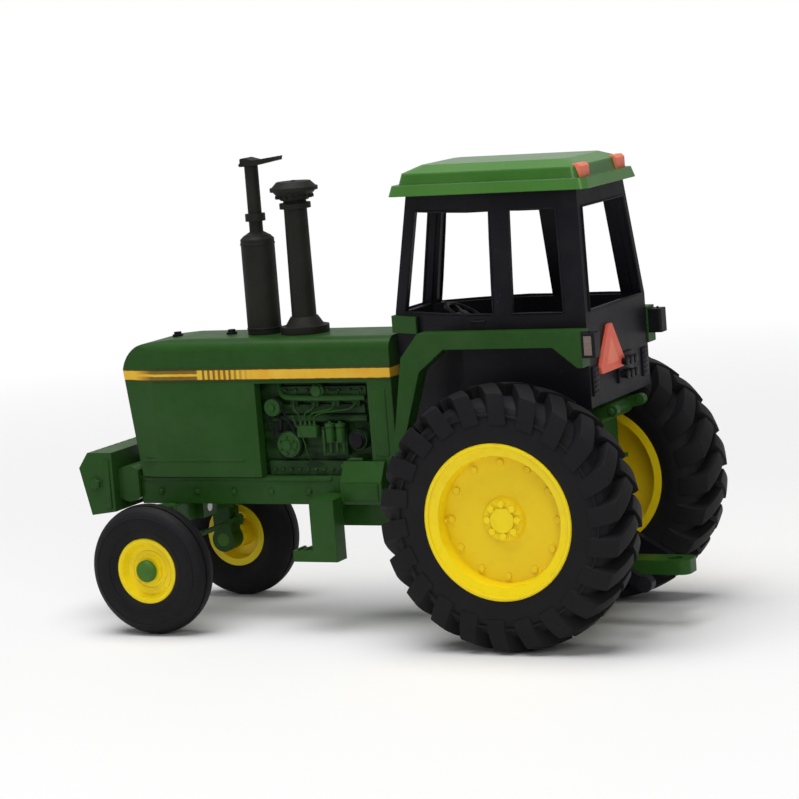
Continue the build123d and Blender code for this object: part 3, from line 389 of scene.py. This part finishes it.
finishes = {
    "green": enamel("green_enamel", GREEN, GREEN_LIGHT, GREEN_DARK),
    "engine": enamel("engine_enamel", (0.02, 0.072, 0.013), (0.028, 0.095, 0.019), (0.01, 0.038, 0.007), 0.4),
    "engine_painted_shade": engine_painted_shade(),
    "emblem": emblem(),
    "glass": lamp_glass(),
    "dial": dial(),
    "hood": hood_paint(),
    "roof": roof_paint(),
    "pin": enamel("pin_enamel", (0.055, 0.15, 0.018), (0.07, 0.19, 0.026), (0.03, 0.1, 0.012)),
    "yellow": rim_yellow(),
    "rubber": rubber(),
    "black": moulded("cab_black", BLACK, (0.0105, 0.0095, 0.013), 0.42, 0.018),
    "stack": moulded("stack_black", (0.013, 0.013, 0.011), (0.022, 0.021, 0.017), 0.5, 0.022),
    "seat": moulded("seat_black", (0.014, 0.014, 0.016), (0.02, 0.02, 0.022), 0.55, 0.03),
    "grille": moulded("grille_black", (0.012, 0.013, 0.011), (0.02, 0.022, 0.018), 0.5, 0.02),
    "orange": signal_orange(),
    "lens": lens_brown(),
    "zinc": zinc(),
}

# the finish of a CAD piece, from its slot; node_finish names the pieces that have their own
slot_finish = {
    "green_paint": "green", "hood_paint": "hood", "green_plastic": "green", "fender_green": "green",
    "roof_green": "roof", "pin_green": "pin", "rim_yellow": "yellow", "tyre_rubber": "rubber",
    "black_plastic": "black", "seat_vinyl": "seat", "grille_black": "grille", "stack_black": "stack",
    "smoked_lens": "lens", "lamp_orange": "orange", "steel": "zinc",
}
node_finish = {"slow_vehicle_triangle": "emblem", "engine_block": "engine_painted_shade"}


def dress_frame():
    """Gives every CAD piece its finish."""
    for row in frame["record"]["subparts"]:
        piece = nodes[row["node"]]
        piece.data.materials.clear()
        chosen = node_finish.get(row["node"], slot_finish[row["material_slot"]])
        piece.data.materials.append(finishes[chosen].material)


dress_frame()


# ------------------------------------------------------------------------------------------ ways of making
UP = Vector((0, 0, 1))
LEFT = Vector((0, 1, 0))
FORWARD = Vector((1, 0, 0))


def reset():
    """Back to object mode with nothing selected."""
    if bpy.context.object and bpy.context.object.mode != "OBJECT":
        bpy.ops.object.mode_set(mode="OBJECT")
    bpy.ops.object.select_all(action="DESELECT")


def pick(axis):
    """In edit mode, selects only the faces that look along the axis."""
    piece = bpy.context.object
    bpy.ops.mesh.select_all(action="DESELECT")
    mesh = bmesh.from_edit_mesh(piece.data)
    for face in mesh.faces:
        face.select_set(face.normal.dot(axis) > 0.9)
    mesh.select_flush(True)
    bmesh.update_edit_mesh(piece.data)


def complete(name, finish, body="root", edge=0.0, angle=35):
    """Cleans the mesh, rounds its edges, sets its origin, name, material and the body it rides on."""
    piece = bpy.context.object
    if piece.mode != "EDIT":
        bpy.ops.object.mode_set(mode="EDIT")
    bpy.ops.mesh.select_all(action="SELECT")
    bpy.ops.mesh.remove_doubles(threshold=0.002 * MM)
    bpy.ops.mesh.normals_make_consistent(inside=False)
    bpy.ops.object.mode_set(mode="OBJECT")
    bpy.ops.object.transform_apply(location=True, rotation=True, scale=True)
    if edge:
        round_over = piece.modifiers.new("edges", "BEVEL")
        round_over.width = edge * MM
        round_over.segments = 2
        round_over.limit_method = "ANGLE"
        bpy.ops.object.modifier_apply(modifier=round_over.name)
    bpy.ops.object.shade_smooth_by_angle(angle=math.radians(angle))
    piece.name = name
    piece.data.name = name
    piece.data.materials.clear()
    piece.data.materials.append(finishes[finish].material)
    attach(piece, body)
    return piece


def slab(x0, x1, y0, y1, z0, z1, panel=None):
    """A block between two corners in millimetres; panel=(axis, margin, depth) raises or sinks one face."""
    reset()
    spot = place((x0 + x1) / 2, (y0 + y1) / 2, (z0 + z1) / 2)
    size = Vector((x1 - x0, y1 - y0, z1 - z0)) * MM
    bpy.ops.mesh.primitive_cube_add(size=1, location=spot, scale=size)
    bpy.ops.object.transform_apply(location=False, rotation=False, scale=True)
    bpy.ops.object.mode_set(mode="EDIT")
    if panel:
        axis, margin, depth = panel
        pick(axis)
        bpy.ops.mesh.inset(thickness=margin * MM)
        bpy.ops.mesh.extrude_region_move(TRANSFORM_OT_translate={"value": axis * depth * MM})
    return bpy.context.object


def turned(x, y, z, axis, profile, sides=24):
    """A round piece along an axis: a disc drawn out ring by ring to each (radius, distance)."""
    reset()
    radius, reach = profile[0]
    middle = place(x, y, z) + axis * reach * MM
    bpy.ops.mesh.primitive_circle_add(vertices=sides, radius=radius * MM, fill_type="NGON", location=middle,
                                      rotation=UP.rotation_difference(axis).to_euler())
    bpy.ops.object.mode_set(mode="EDIT")
    bpy.ops.mesh.select_all(action="SELECT")
    for wider, further in profile[1:]:
        step = axis * (further - reach) * MM
        bpy.ops.mesh.extrude_region_move(TRANSFORM_OT_translate={"value": step})
        middle = middle + step
        bpy.ops.transform.resize(value=(wider / radius,) * 3, center_override=middle)
        radius, reach = wider, further
    return bpy.context.object


def hoop(x, y, z, ring_r, wide, thick, steps=72):
    """A ring about a wheel's axis: an oval section spun all the way round."""
    reset()
    bpy.ops.mesh.primitive_circle_add(vertices=8, radius=0.5 * MM, location=place(x, y, z + ring_r),
                                      rotation=(0, math.pi / 2, 0))
    bpy.ops.object.transform_apply(location=False, rotation=True, scale=False)
    bpy.ops.object.mode_set(mode="EDIT")
    bpy.ops.mesh.select_all(action="SELECT")
    bpy.ops.transform.resize(value=(1, wide, thick), center_override=place(x, y, z + ring_r))
    bpy.ops.mesh.spin(steps=steps, angle=2 * math.pi, center=place(x, y, z), axis=(0, 1, 0))
    return bpy.context.object


def pipe(points, radius, sharp=False, closed=False, round_steps=2):
    """A pipe through points in millimetres, flowing through them or bent sharply at each."""
    reset()
    bpy.ops.curve.primitive_nurbs_path_add(location=(0, 0, 0))
    line = bpy.context.object
    line.data.splines.clear()
    path = line.data.splines.new("POLY" if sharp else "NURBS")
    path.points.add(len(points) - 1)
    for knot, point in zip(path.points, points):
        knot.co = (*place(*point), 1)
    path.use_cyclic_u = closed
    if not sharp:
        path.use_endpoint_u = True
        path.order_u = 3
        path.resolution_u = 5
    line.data.bevel_depth = radius * MM
    line.data.bevel_resolution = round_steps
    line.data.use_fill_caps = True
    bpy.ops.object.convert(target="MESH")
    return bpy.context.object


def complete_bolt(name, x, y, z, axis, r, finish="green", body="root", proud=0.22):
    """A hexagon head on a thin washer."""
    washer_r = r * 1.35
    profile = [(washer_r, -0.1), (washer_r, 0.06), (r, 0.06), (r, proud), (r * 0.8, proud + 0.05)]
    turned(x, y, z, axis, profile, sides=6)
    return complete(name, finish, body, angle=20)


def duplicate(piece, turn, name=None):
    """A copy with its own mesh, moved by a matrix and set down again at the origin."""
    reset()
    bpy.context.view_layer.objects.active = piece
    piece.select_set(True)
    bpy.ops.object.duplicate()
    copy = bpy.context.object
    copy.matrix_world = turn @ copy.matrix_world
    bpy.ops.object.transform_apply(location=True, rotation=True, scale=True)
    if turn.determinant() < 0:
        bpy.ops.object.mode_set(mode="EDIT")
        bpy.ops.mesh.select_all(action="SELECT")
        bpy.ops.mesh.normals_make_consistent(inside=False)
        bpy.ops.object.mode_set(mode="OBJECT")
    if name:
        copy.name = name
        copy.data.name = name
    return copy


def join(pieces):
    """Joins pieces into the first one."""
    reset()
    for piece in pieces:
        piece.select_set(True)
    bpy.context.view_layer.objects.active = pieces[0]
    bpy.ops.object.join()
    return pieces[0]


def row(piece, count, step):
    """Repeats a piece along a step in millimetres, as one piece."""
    shift = Vector(step) * MM
    return join([piece] + [duplicate(piece, Matrix.Translation(shift * n)) for n in range(1, count)])


def around(piece, count, centre, axis="Y"):
    """Repeats a piece round an axis through a centre, as one piece."""
    middle = Matrix.Translation(place(*centre))
    copies = []
    for n in range(1, count):
        turn = Matrix.Rotation(2 * math.pi * n / count, 4, axis)
        copies.append(duplicate(piece, middle @ turn @ middle.inverted()))
    return join([piece] + copies)


def on_both(piece):
    """Renames the left-hand piece and adds its mirror image on the right."""
    stem = piece.name
    piece.name = stem + "_left"
    piece.data.name = piece.name
    other = duplicate(piece, Matrix.Scale(-1, 4, LEFT), stem + "_right")
    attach(other, "root")


# ------------------------------------------------------------------------------------------ engine
def injection():
    """The pump with its four outlets, and a pipe from each of them up to the head."""
    slab(25.9, 28.3, 3.0, 4.1, 20.5, 21.8, (LEFT, 0.25, 0.18))
    on_both(complete("injection_pump", "engine", edge=0.12))
    cylinders = 4
    outlet_x = 26.3
    outlet_y = 3.65
    outlet_step = 0.55
    injector_x = 21.15
    injector_step = 2.5
    turned(outlet_x, outlet_y, 21.75, UP,
           [(0.24, -0.1), (0.24, 0.2), (0.16, 0.25), (0.16, 0.55), (0.1, 0.6)], 12)
    on_both(row(complete("pump_outlets", "engine"), cylinders, (outlet_step, 0, 0)))
    lines = []
    for n in range(cylinders):
        low = outlet_x + outlet_step * n
        high = injector_x + injector_step * n
        pipe([(low, outlet_y, 22.2), (low, 3.9, 23.0), ((low + high) / 2, 4.05, 23.4), (high, 3.9, 23.6),
              (high, 3.45, 24.4)], 0.09, round_steps=1)
        lines.append(complete("injector_pipes", "engine"))
    on_both(join(lines))


def filters_and_starter():
    """Two fuel filters, the oil filter, and the starter with its switch above it."""
    filter_shape = [(0.42, -1.5), (0.5, -1.35), (0.5, 0.1), (0.4, 0.2), (0.56, 0.2), (0.56, 0.55), (0.2, 0.6),
                    (0.2, 0.8)]
    turned(23.0, 4.05, 21.5, UP, filter_shape, 16)
    on_both(row(complete("fuel_filters", "engine"), 2, (1.25, 0, 0)))
    turned(21.1, 3.7, 20.2, LEFT, [(0.95, 0), (0.95, 0.35), (0.8, 0.45), (0.8, 0.75), (0.45, 0.85)], 20)
    on_both(complete("oil_filter", "black"))
    starter_shape = [(0.3, -0.2), (0.5, 0), (0.5, 1.9), (0.62, 2.0), (0.62, 2.5), (0.35, 2.7), (0.35, 3.3),
                     (0.2, 3.4)]
    turned(20.0, 3.75, 17.25, FORWARD, starter_shape, 18)
    starter = complete("starter", "engine")
    turned(20.6, 3.95, 18.05, FORWARD, [(0.24, 0), (0.3, 0.1), (0.3, 1.5), (0.15, 1.6), (0.15, 1.85)], 14)
    on_both(join([starter, complete("starter_switch", "engine")]))


def fan_and_belt():
    """The fan drive with its bolts, the generator's pulley, and the belt round both of them."""
    fan_x = 29.5
    fan_z = 19.7
    turned(fan_x, 3.5, fan_z, LEFT,
           [(1.4, 0), (1.4, 0.45), (1.15, 0.6), (1.15, 0.75), (0.55, 0.8), (0.55, 1.05), (0.3, 1.1)], 28)
    on_both(complete("fan_drive", "engine"))
    head = complete_bolt("fan_drive_bolts", fan_x, 4.22, fan_z + 0.9, LEFT, 0.13)
    on_both(around(head, 6, (fan_x, 0, fan_z)))
    pulley_shape = [(0.95, 0), (0.95, 0.2), (0.78, 0.32), (0.78, 0.42), (0.95, 0.55), (0.95, 0.7),
                    (0.4, 0.75), (0.4, 1.0)]
    turned(31.1, 3.4, 23.8, LEFT, pulley_shape, 24)
    on_both(complete("generator_pulley", "engine"))
    belt_y = 3.85
    belt = [(30.15, 23.8), (30.4, 24.6), (31.1, 24.85), (31.85, 24.5), (32.05, 23.8), (31.6, 22.0),
            (30.9, 19.7), (30.5, 18.6), (29.5, 18.25), (28.5, 18.6), (28.1, 19.7), (28.9, 21.6)]
    pipe([(x, belt_y, z) for x, z in belt], 0.13, closed=True, round_steps=1)
    on_both(complete("fan_belt", "rubber"))


def hoses_and_manifold():
    """Water hose, dipstick, exhaust manifold and the turbo's housing."""
    pipe([(30.7, 3.3, 22.6), (30.2, 4.1, 22.5), (30.1, 4.15, 21.6), (30.6, 3.6, 21.2)], 0.24)
    on_both(complete("water_hose", "black"))
    pipe([(27.1, 3.3, 17.7), (27.3, 4.05, 18.6), (27.4, 4.1, 20.2), (28.6, 4.1, 22.4), (28.7, 4.1, 22.9)],
         0.08, round_steps=1)
    on_both(complete("dipstick", "engine"))
    pipe([(20.1, 3.35, 24.75), (21.5, 3.55, 24.75), (29.0, 3.55, 24.75), (30.4, 3.3, 25.1),
          (30.6, 2.9, 26.4)], 0.36, round_steps=3)
    on_both(complete("exhaust_manifold", "engine"))
    turned(25.7, 3.1, 25.55, LEFT, [(0.85, 0), (0.85, 0.5), (0.6, 0.7), (0.6, 0.9), (0.3, 0.95)], 20)
    on_both(complete("turbo_housing", "engine"))


def block_details():
    """Ribs on the block, and rows of bolts along the sump and the head."""
    slab(22.75, 23.05, 3.6, 3.86, 18.8, 21.3)
    on_both(row(complete("block_ribs", "engine", edge=0.06), 4, (0.78, 0, 0)))
    block_side = 3.4
    on_both(row(complete_bolt("sump_bolts", 24.6, block_side, 16.95, LEFT, 0.17), 8, (1.0, 0, 0)))
    on_both(row(complete_bolt("head_bolts", 20.5, block_side, 25.6, LEFT, 0.15), 8, (1.3, 0, 0)))


# ------------------------------------------------------------------------------------------ chassis and front
def chassis_fittings():
    """Rails' bolts and flange, gearbox bolts, the step's tread ribs and the side boxes' panels."""
    rail_side = 3.9
    gearbox_side = 4.2
    box_side = 6.3
    on_both(row(complete_bolt("rail_bolts", 27.5, rail_side, 14.6, LEFT, 0.34), 5, (4.6, 0, 0)))
    slab(24.6, 48.0, rail_side - 0.1, rail_side + 0.18, 15.75, 16.2)
    on_both(complete("rail_flange", "green", edge=0.08))
    on_both(row(complete_bolt("gearbox_bolts", 10.8, gearbox_side, 12.2, LEFT, 0.26), 4, (1.5, 0, 0)))
    rib_x = 22.75
    rib_wide = 0.35
    rib_step = 0.85
    for n in range(6):
        rear = rib_x + rib_step * n
        slab(rear, rear + rib_wide, 6.35, 8.05, 8.95, 9.2)
        complete(f"tread_rib_{n + 1}", "green", edge=0.06)
    slab(17.9, 22.0, box_side - 0.1, box_side + 0.12, 14.1, 15.9, (LEFT, 0.3, -0.1))
    on_both(complete("box_panel", "green", edge=0.05))


def front_fittings():
    """Tie rod, steering arms and rod ends, and the bolts and ribs of the front weights."""
    rod_x = 42.6
    rod_y = 6.7
    pipe([(rod_x, -rod_y, 9.4), (rod_x, rod_y, 9.4)], 0.3, sharp=True, round_steps=3)
    complete("tie_rod", "green")
    slab(42.2, 44.0, 6.1, 7.3, 9.0, 9.8, (-FORWARD, 0.2, 0.3))
    on_both(complete("steering_arm", "green", edge=0.12))
    turned(rod_x, rod_y, 9.0, UP, [(0.45, -0.2), (0.5, -0.1), (0.5, 0.9), (0.3, 1.0)], 16)
    on_both(complete("rod_end", "green"))
    weight_side = 5.55
    turned(53.2, weight_side, 15.7, LEFT, [(0.9, 0), (0.9, 0.12), (0.62, 0.12), (0.62, 0.42), (0.5, 0.5)], 6)
    on_both(complete("weight_bolt", "green"))
    slab(51.4, 52.0, weight_side, weight_side + 0.2, 12.9, 18.4, (LEFT, 0.12, 0.06))
    on_both(complete("weight_rib", "green", edge=0.06))


def hood_fittings():
    """Lamps in the grille, the hood's foot bead and rear panel."""
    slab(48.3, 48.85, 0.55, 2.75, 24.9, 26.3, (FORWARD, 0.2, -0.15))
    on_both(complete("headlamp_frame", "grille", edge=0.08))
    slab(48.5, 48.82, 0.8, 2.5, 25.12, 26.08, (FORWARD, 0.15, 0.06))
    on_both(complete("headlamp_glass", "glass", edge=0.06))
    hood_side = 4.6
    slab(34.6, 47.4, hood_side, hood_side + 0.16, 18.0, 18.35)
    on_both(complete("hood_foot_bead", "green", edge=0.06))
    slab(17.0, 18.6, hood_side, hood_side + 0.18, 18.6, 25.8, (LEFT, 0.25, -0.06))
    on_both(complete("rear_panel_face", "green", edge=0.05))


def stack_fittings():
    """The rain flap's hinge and weight, the muffler's seams, and the pre-cleaner's fins and button."""
    pipe([(34.15, -1.1, 49.85), (34.15, 1.1, 49.85)], 0.2, sharp=True, round_steps=3)
    complete("flap_hinge", "stack")
    slab(34.0, 34.6, -0.3, 0.3, 49.6, 50.5, (FORWARD, 0.1, 0.12))
    complete("flap_weight", "stack", edge=0.08)
    for name, seam_z in (("muffler_seam_low", 31.9), ("muffler_seam_high", 41.1)):
        turned(33.4, 0, seam_z, UP, [(1.83, 0), (1.9, 0.06), (1.9, 0.22), (1.83, 0.28)], 36)
        complete(name, "stack")
    cleaner_x = 28.4
    slab(cleaner_x + 1.6, cleaner_x + 2.1, -0.1, 0.1, 46.0, 46.35)
    around(complete("cleaner_fins", "stack", edge=0.04), 16, (cleaner_x, 0, 45), "Z")
    turned(cleaner_x, 0, 47.65, UP, [(1.2, 0), (1.1, 0.12), (0.3, 0.16), (0.25, 0.28)], 24)
    complete("cleaner_button", "stack")


# ------------------------------------------------------------------------------------------ cab
WINDOW_LOW = 33.9
WINDOW_HIGH = 44.35
REAR_WALL = -7.9


def cab_side(x, z):
    """Half width of the cab's outer wall at a place along it and a height."""
    waist = 33.8
    waist_to_roof = 12.4
    rise = max(0.0, (z - waist) / waist_to_roof)
    half = 8.1 - 1.8 * rise
    front_half = 3.9 - 0.5 * rise
    shoulder = 6.0 - rise
    front = 15.4 - 2.0 * rise
    if x <= shoulder:
        return half
    return half - (half - front_half) * (x - shoulder) / (front - shoulder)


def side_bead(name, low_rear, low_front, high_front, high_rear):
    """A rubber bead round a side window with its four corners at these X, following the leaning wall."""
    corners = [(low_rear, WINDOW_LOW), (low_front, WINDOW_LOW), (high_front, WINDOW_HIGH),
               (high_rear, WINDOW_HIGH)]
    pieces = 4
    sunk = 0.03
    points = []
    for (x0, z0), (x1, z1) in zip(corners, corners[1:] + corners[:1]):
        for n in range(pieces):
            x = x0 + (x1 - x0) * n / pieces
            z = z0 + (z1 - z0) * n / pieces
            points.append((x, cab_side(x, z) - sunk, z))
    pipe(points, 0.13, sharp=True, closed=True, round_steps=1)
    on_both(complete(name, "black"))


def end_bead(name, low_x, low_half, high_x, high_half):
    """A rubber bead round the rear window or the windscreen."""
    pipe([(low_x, -low_half, WINDOW_LOW), (low_x, low_half, WINDOW_LOW), (high_x, high_half, WINDOW_HIGH),
          (high_x, -high_half, WINDOW_HIGH)], 0.14, sharp=True, closed=True, round_steps=1)
    complete(name, "black")


def window_beads():
    """Beads round all the windows, and the door handles below them."""
    side_bead("quarter_bead", -5.6, 0.15, 0.5, -4.85)
    side_bead("door_bead", 2.25, 14.0, 12.35, 2.6)
    end_bead("rear_window_bead", -7.98, 7.0, -7.25, 5.5)
    end_bead("windscreen_bead", 15.42, 2.95, 13.72, 2.6)
    pipe([(3.2, 8.05, 33.2), (3.3, 8.4, 33.2), (4.7, 8.4, 33.2), (4.8, 8.05, 33.2)], 0.13)
    on_both(complete("door_handle", "black"))


def rear_wall_fittings():
    """Oil couplers on their plate, vents, and the bolts on top of the fender lamps."""
    coupler_shape = [(0.52, 0), (0.52, 0.2), (0.36, 0.25), (0.36, 0.75), (0.44, 0.75), (0.44, 1.0),
                     (0.2, 1.05)]
    turned(REAR_WALL, -2.4, 26.3, -FORWARD, coupler_shape, 16)
    row(row(complete("oil_couplers", "black"), 3, (0, 1.2, 0)), 2, (0, 0, 1.4))
    slab(REAR_WALL - 0.3, REAR_WALL, -3.2, 0.9, 25.5, 28.5, (-FORWARD, 0.2, -0.1))
    complete("coupler_plate", "black", edge=0.06)
    slab(REAR_WALL - 0.25, REAR_WALL, 6.0, 7.6, 25.2, 28.2, (-FORWARD, 0.3, 0.1))
    on_both(complete("rear_vent_frame", "black", edge=0.05))
    slab(REAR_WALL - 0.32, REAR_WALL - 0.05, 6.25, 7.35, 25.5, 25.75)
    on_both(row(complete("rear_vent_slats", "black", edge=0.04), 5, (0, 0, 0.5)))
    on_both(complete_bolt("lamp_bolts", -8.8, 9.4, 31.9, UP, 0.12, "black"))


def seat_fittings():
    """The cushion's top with two raised pads, and the roll along the backrest."""
    slab(-2.9, 0.9, -2.0, 2.0, 28.85, 29.25, (UP, 0.45, -0.12))
    complete("seat_cushion_top", "seat", edge=0.18)
    for side, y in (("right", -1.7), ("left", 0.3)):
        slab(-1.2, 0.6, y, y + 1.4, 29.2, 29.4)
        complete(f"seat_channel_{side}", "seat", edge=0.1)
    pipe([(-3.35, -2.3, 33.3), (-3.35, 2.3, 33.3)], 0.28, sharp=True, round_steps=3)
    complete("seat_head_roll", "seat")


def control_fittings():
    """Gauges, levers on their console, and two pedals."""
    for n, y in enumerate((-1.3, 0.0, 1.3)):
        turned(11.05, y, 31.1, -FORWARD, [(0.55, -0.1), (0.55, 0.06), (0.48, 0.06), (0.48, 0.02)], 20)
        complete(f"gauge_{n + 1}", "dial")
    for n, knob in enumerate(("orange", "black", "black")):
        x = 3.2 + 0.9 * n
        pipe([(x + 0.4, -5.4, 25.0), (x + 0.3, -5.4, 28.5), (x, -5.3, 30.2)], 0.12)
        complete(f"lever_{n + 1}", "zinc")
        turned(x, -5.3, 30.0, UP, [(0.15, 0), (0.32, 0.15), (0.36, 0.4), (0.2, 0.62)], 14)
        complete(f"lever_knob_{n + 1}", knob)
    slab(2.6, 6.4, -6.3, -4.6, 24.9, 27.2, (UP, 0.35, -0.15))
    complete("lever_console", "black", edge=0.12)
    for name, y in (("brake_pedal", 0.9), ("clutch_pedal", -1.9)):
        slab(9.6, 10.6, y, y + 1.0, 25.0, 25.9, (-FORWARD, 0.15, 0.1))
        complete(name, "black", edge=0.08)
    slab(-4.5, 10.5, -4.3, 4.3, 45.75, 46.3, (-UP, 0.8, 0.3))
    complete("roof_lining", "black", edge=0.2)


# ------------------------------------------------------------------------------------------ wheels and hitch
def wheel_fittings():
    """Rolled rim edges, hub bolts, valves and raised rings on the tyres' sides."""
    front_x, _, front_z = FRONT_AXLE
    rear_x, _, rear_z = REAR_AXLE
    for side, sign in (("left", 1), ("right", -1)):
        for name, finish, out, ring_r, wide, thick in (
            ("rear_rim_roll", "yellow", 15.7, 7.85, 0.3, 0.42),
            ("rear_tyre_ring", "rubber", 15.83, 9.3, 0.2, 0.36),
            ("rear_tyre_outer_ring", "rubber", 15.82, 11.0, 0.16, 0.3),
        ):
            hoop(rear_x, sign * out, rear_z, ring_r, wide, thick)
            complete(f"{name}_{side}", finish, "rear_wheels")
        head = complete_bolt(f"rear_hub_bolts_{side}", rear_x, sign * 14.35, rear_z + 1.66, LEFT * sign, 0.42,
                             "yellow", "rear_wheels", proud=0.3)
        around(head, 8, REAR_AXLE)
        pipe([(6.3, sign * 13.8, rear_z), (6.3, sign * 14.6, rear_z), (6.1, sign * 15.0, rear_z)], 0.13)
        complete(f"rear_valve_{side}", "yellow", "rear_wheels")
        for name, finish, out, ring_r, wide, thick, steps in (
            ("front_rim_roll", "yellow", 11.34, 3.4, 0.3, 0.42, 56),
            ("front_tyre_ring", "rubber", 11.9, 4.5, 0.16, 0.26, 56),
            ("front_tyre_outer_ring", "rubber", 11.86, 5.9, 0.14, 0.24, 56),
            ("front_disc_ring", "yellow", 10.72, 2.05, 0.16, 0.24, 48),
        ):
            hoop(front_x, sign * out, front_z, ring_r, wide, thick, steps)
            complete(f"{name}_{side}", finish, f"front_wheel_{side}")


def hitch_fittings():
    """Lift pins, the power shaft with its guard, and bolts on the drawbar's hanger."""
    turned(-8.4, 3.1, 23.15, LEFT, [(0.35, 0), (0.35, 1.3), (0.22, 1.4)], 14)
    on_both(complete("lift_pin", "green"))
    turned(-5.8, 0, 16.4, -FORWARD, [(0.95, -0.1), (0.95, 0.5), (0.5, 0.55), (0.5, 1.7), (0.4, 1.8)], 20)
    complete("power_shaft", "zinc")
    slab(-7.6, -5.7, -1.5, 1.5, 17.5, 17.9, (UP, 0.3, 0.1))
    complete("shaft_guard", "green", edge=0.1)
    on_both(row(complete_bolt("hanger_bolts", -4.6, 1.6, 8.3, LEFT, 0.3), 2, (2.2, 0, 0)))


for make in (injection, filters_and_starter, fan_and_belt, hoses_and_manifold, block_details,
             chassis_fittings, front_fittings, hood_fittings, stack_fittings, window_beads,
             rear_wall_fittings, seat_fittings, control_fittings, wheel_fittings, hitch_fittings):
    make()
reset()


# ------------------------------------------------------------------------------------------ studio
def ground():
    """A pale floor that fades into white away from the tractor."""
    fade_from = 0.17
    fade_width = 0.16
    bpy.ops.mesh.primitive_plane_add(size=4, location=(0, 0, 0))
    floor = bpy.context.object
    floor.name = "floor"
    finish = Finish("floor_white", (0.9, 0.9, 0.9), 0.7)
    finish.paint(finish.noise(0.08, 2) * 0.1, (0.88, 0.88, 0.885))
    path = finish.node("ShaderNodeLightPath", {})
    seen = Num(finish.tree, path.outputs["Is Camera Ray"])
    away = (finish.x * finish.x + finish.y * finish.y).root()
    glow = finish.node("ShaderNodeEmission", {}, Color=(1, 1, 1, 1), Strength=1.0)
    both = finish.node("ShaderNodeMixShader", {}, Fac=seen * away.over(fade_from, fade_width))
    finish.tree.links.new(finish.shader.outputs[0], both.inputs[1])
    finish.tree.links.new(glow.outputs[0], both.inputs[2])
    out = next(n for n in finish.tree.nodes if n.type == "OUTPUT_MATERIAL")
    finish.tree.links.new(both.outputs[0], out.inputs["Surface"])
    floor.data.materials.append(finish.material)


def surroundings():
    """White to the camera, and only a little light on the tractor from all round."""
    ambient = 0.15
    in_gloss = 0.35
    world = bpy.data.worlds.new("studio")
    bpy.context.scene.world = world
    world.use_nodes = True
    tree = world.node_tree
    tree.nodes.clear()
    ray = tree.nodes.new("ShaderNodeLightPath")
    sky = tree.nodes.new("ShaderNodeBackground")
    sky.inputs["Color"].default_value = (1, 1, 1, 1)
    shown = Num(tree, ray.outputs["Is Camera Ray"]) + Num(tree, ray.outputs["Is Transmission Ray"])
    shown = shown + Num(tree, ray.outputs["Is Glossy Ray"]) * in_gloss
    strength = shown.at_most(1.0) * (1 - ambient) + ambient
    tree.links.new(strength.socket, sky.inputs["Strength"])
    out = tree.nodes.new("ShaderNodeOutputWorld")
    tree.links.new(sky.outputs[0], out.inputs["Surface"])


def lamps():
    """One big soft lamp overhead and a weaker one by the camera, both turned to the tractor."""
    aim = Vector((0, 0, 0.02))
    for name, spot, size, power in (
        ("overhead", (0.03, 0.08, 0.6), 0.6, 3.95),
        ("by_camera", (-0.35, 0.5, 0.35), 0.35, 0.85),
    ):
        bpy.ops.object.light_add(type="AREA", location=spot)
        lamp = bpy.context.object
        lamp.name = name
        lamp.data.shape = "DISK"
        lamp.data.size = size
        lamp.data.energy = power
        lamp.rotation_mode = "QUATERNION"
        lamp.rotation_quaternion = (Vector(spot) - aim).to_track_quat("Z", "Y")


def camera():
    """Looks from behind the tractor's left side, slightly above it, with a small tilt."""
    azimuth = math.radians(206.64)
    elevation = math.radians(7.97)
    tilt = math.radians(4.555)
    distance = 0.33
    aim = Vector((-0.00263, 0.0, 0.02393))
    level = math.cos(elevation)
    back = Vector((math.sin(azimuth) * level, -math.cos(azimuth) * level, math.sin(elevation)))
    lens = bpy.data.cameras.new("camera")
    lens.lens = 138.9
    lens.clip_start = 0.01
    lens.clip_end = 20
    eye = bpy.data.objects.new("camera", lens)
    bpy.context.scene.collection.objects.link(eye)
    eye.location = aim + back * distance
    eye.rotation_mode = "QUATERNION"
    eye.rotation_quaternion = back.to_track_quat("Z", "Y") @ Matrix.Rotation(-tilt, 3, "Z").to_quaternion()
    bpy.context.scene.camera = eye


ground()
surroundings()
lamps()
camera()
bpy.context.scene.view_settings.view_transform = "Standard"
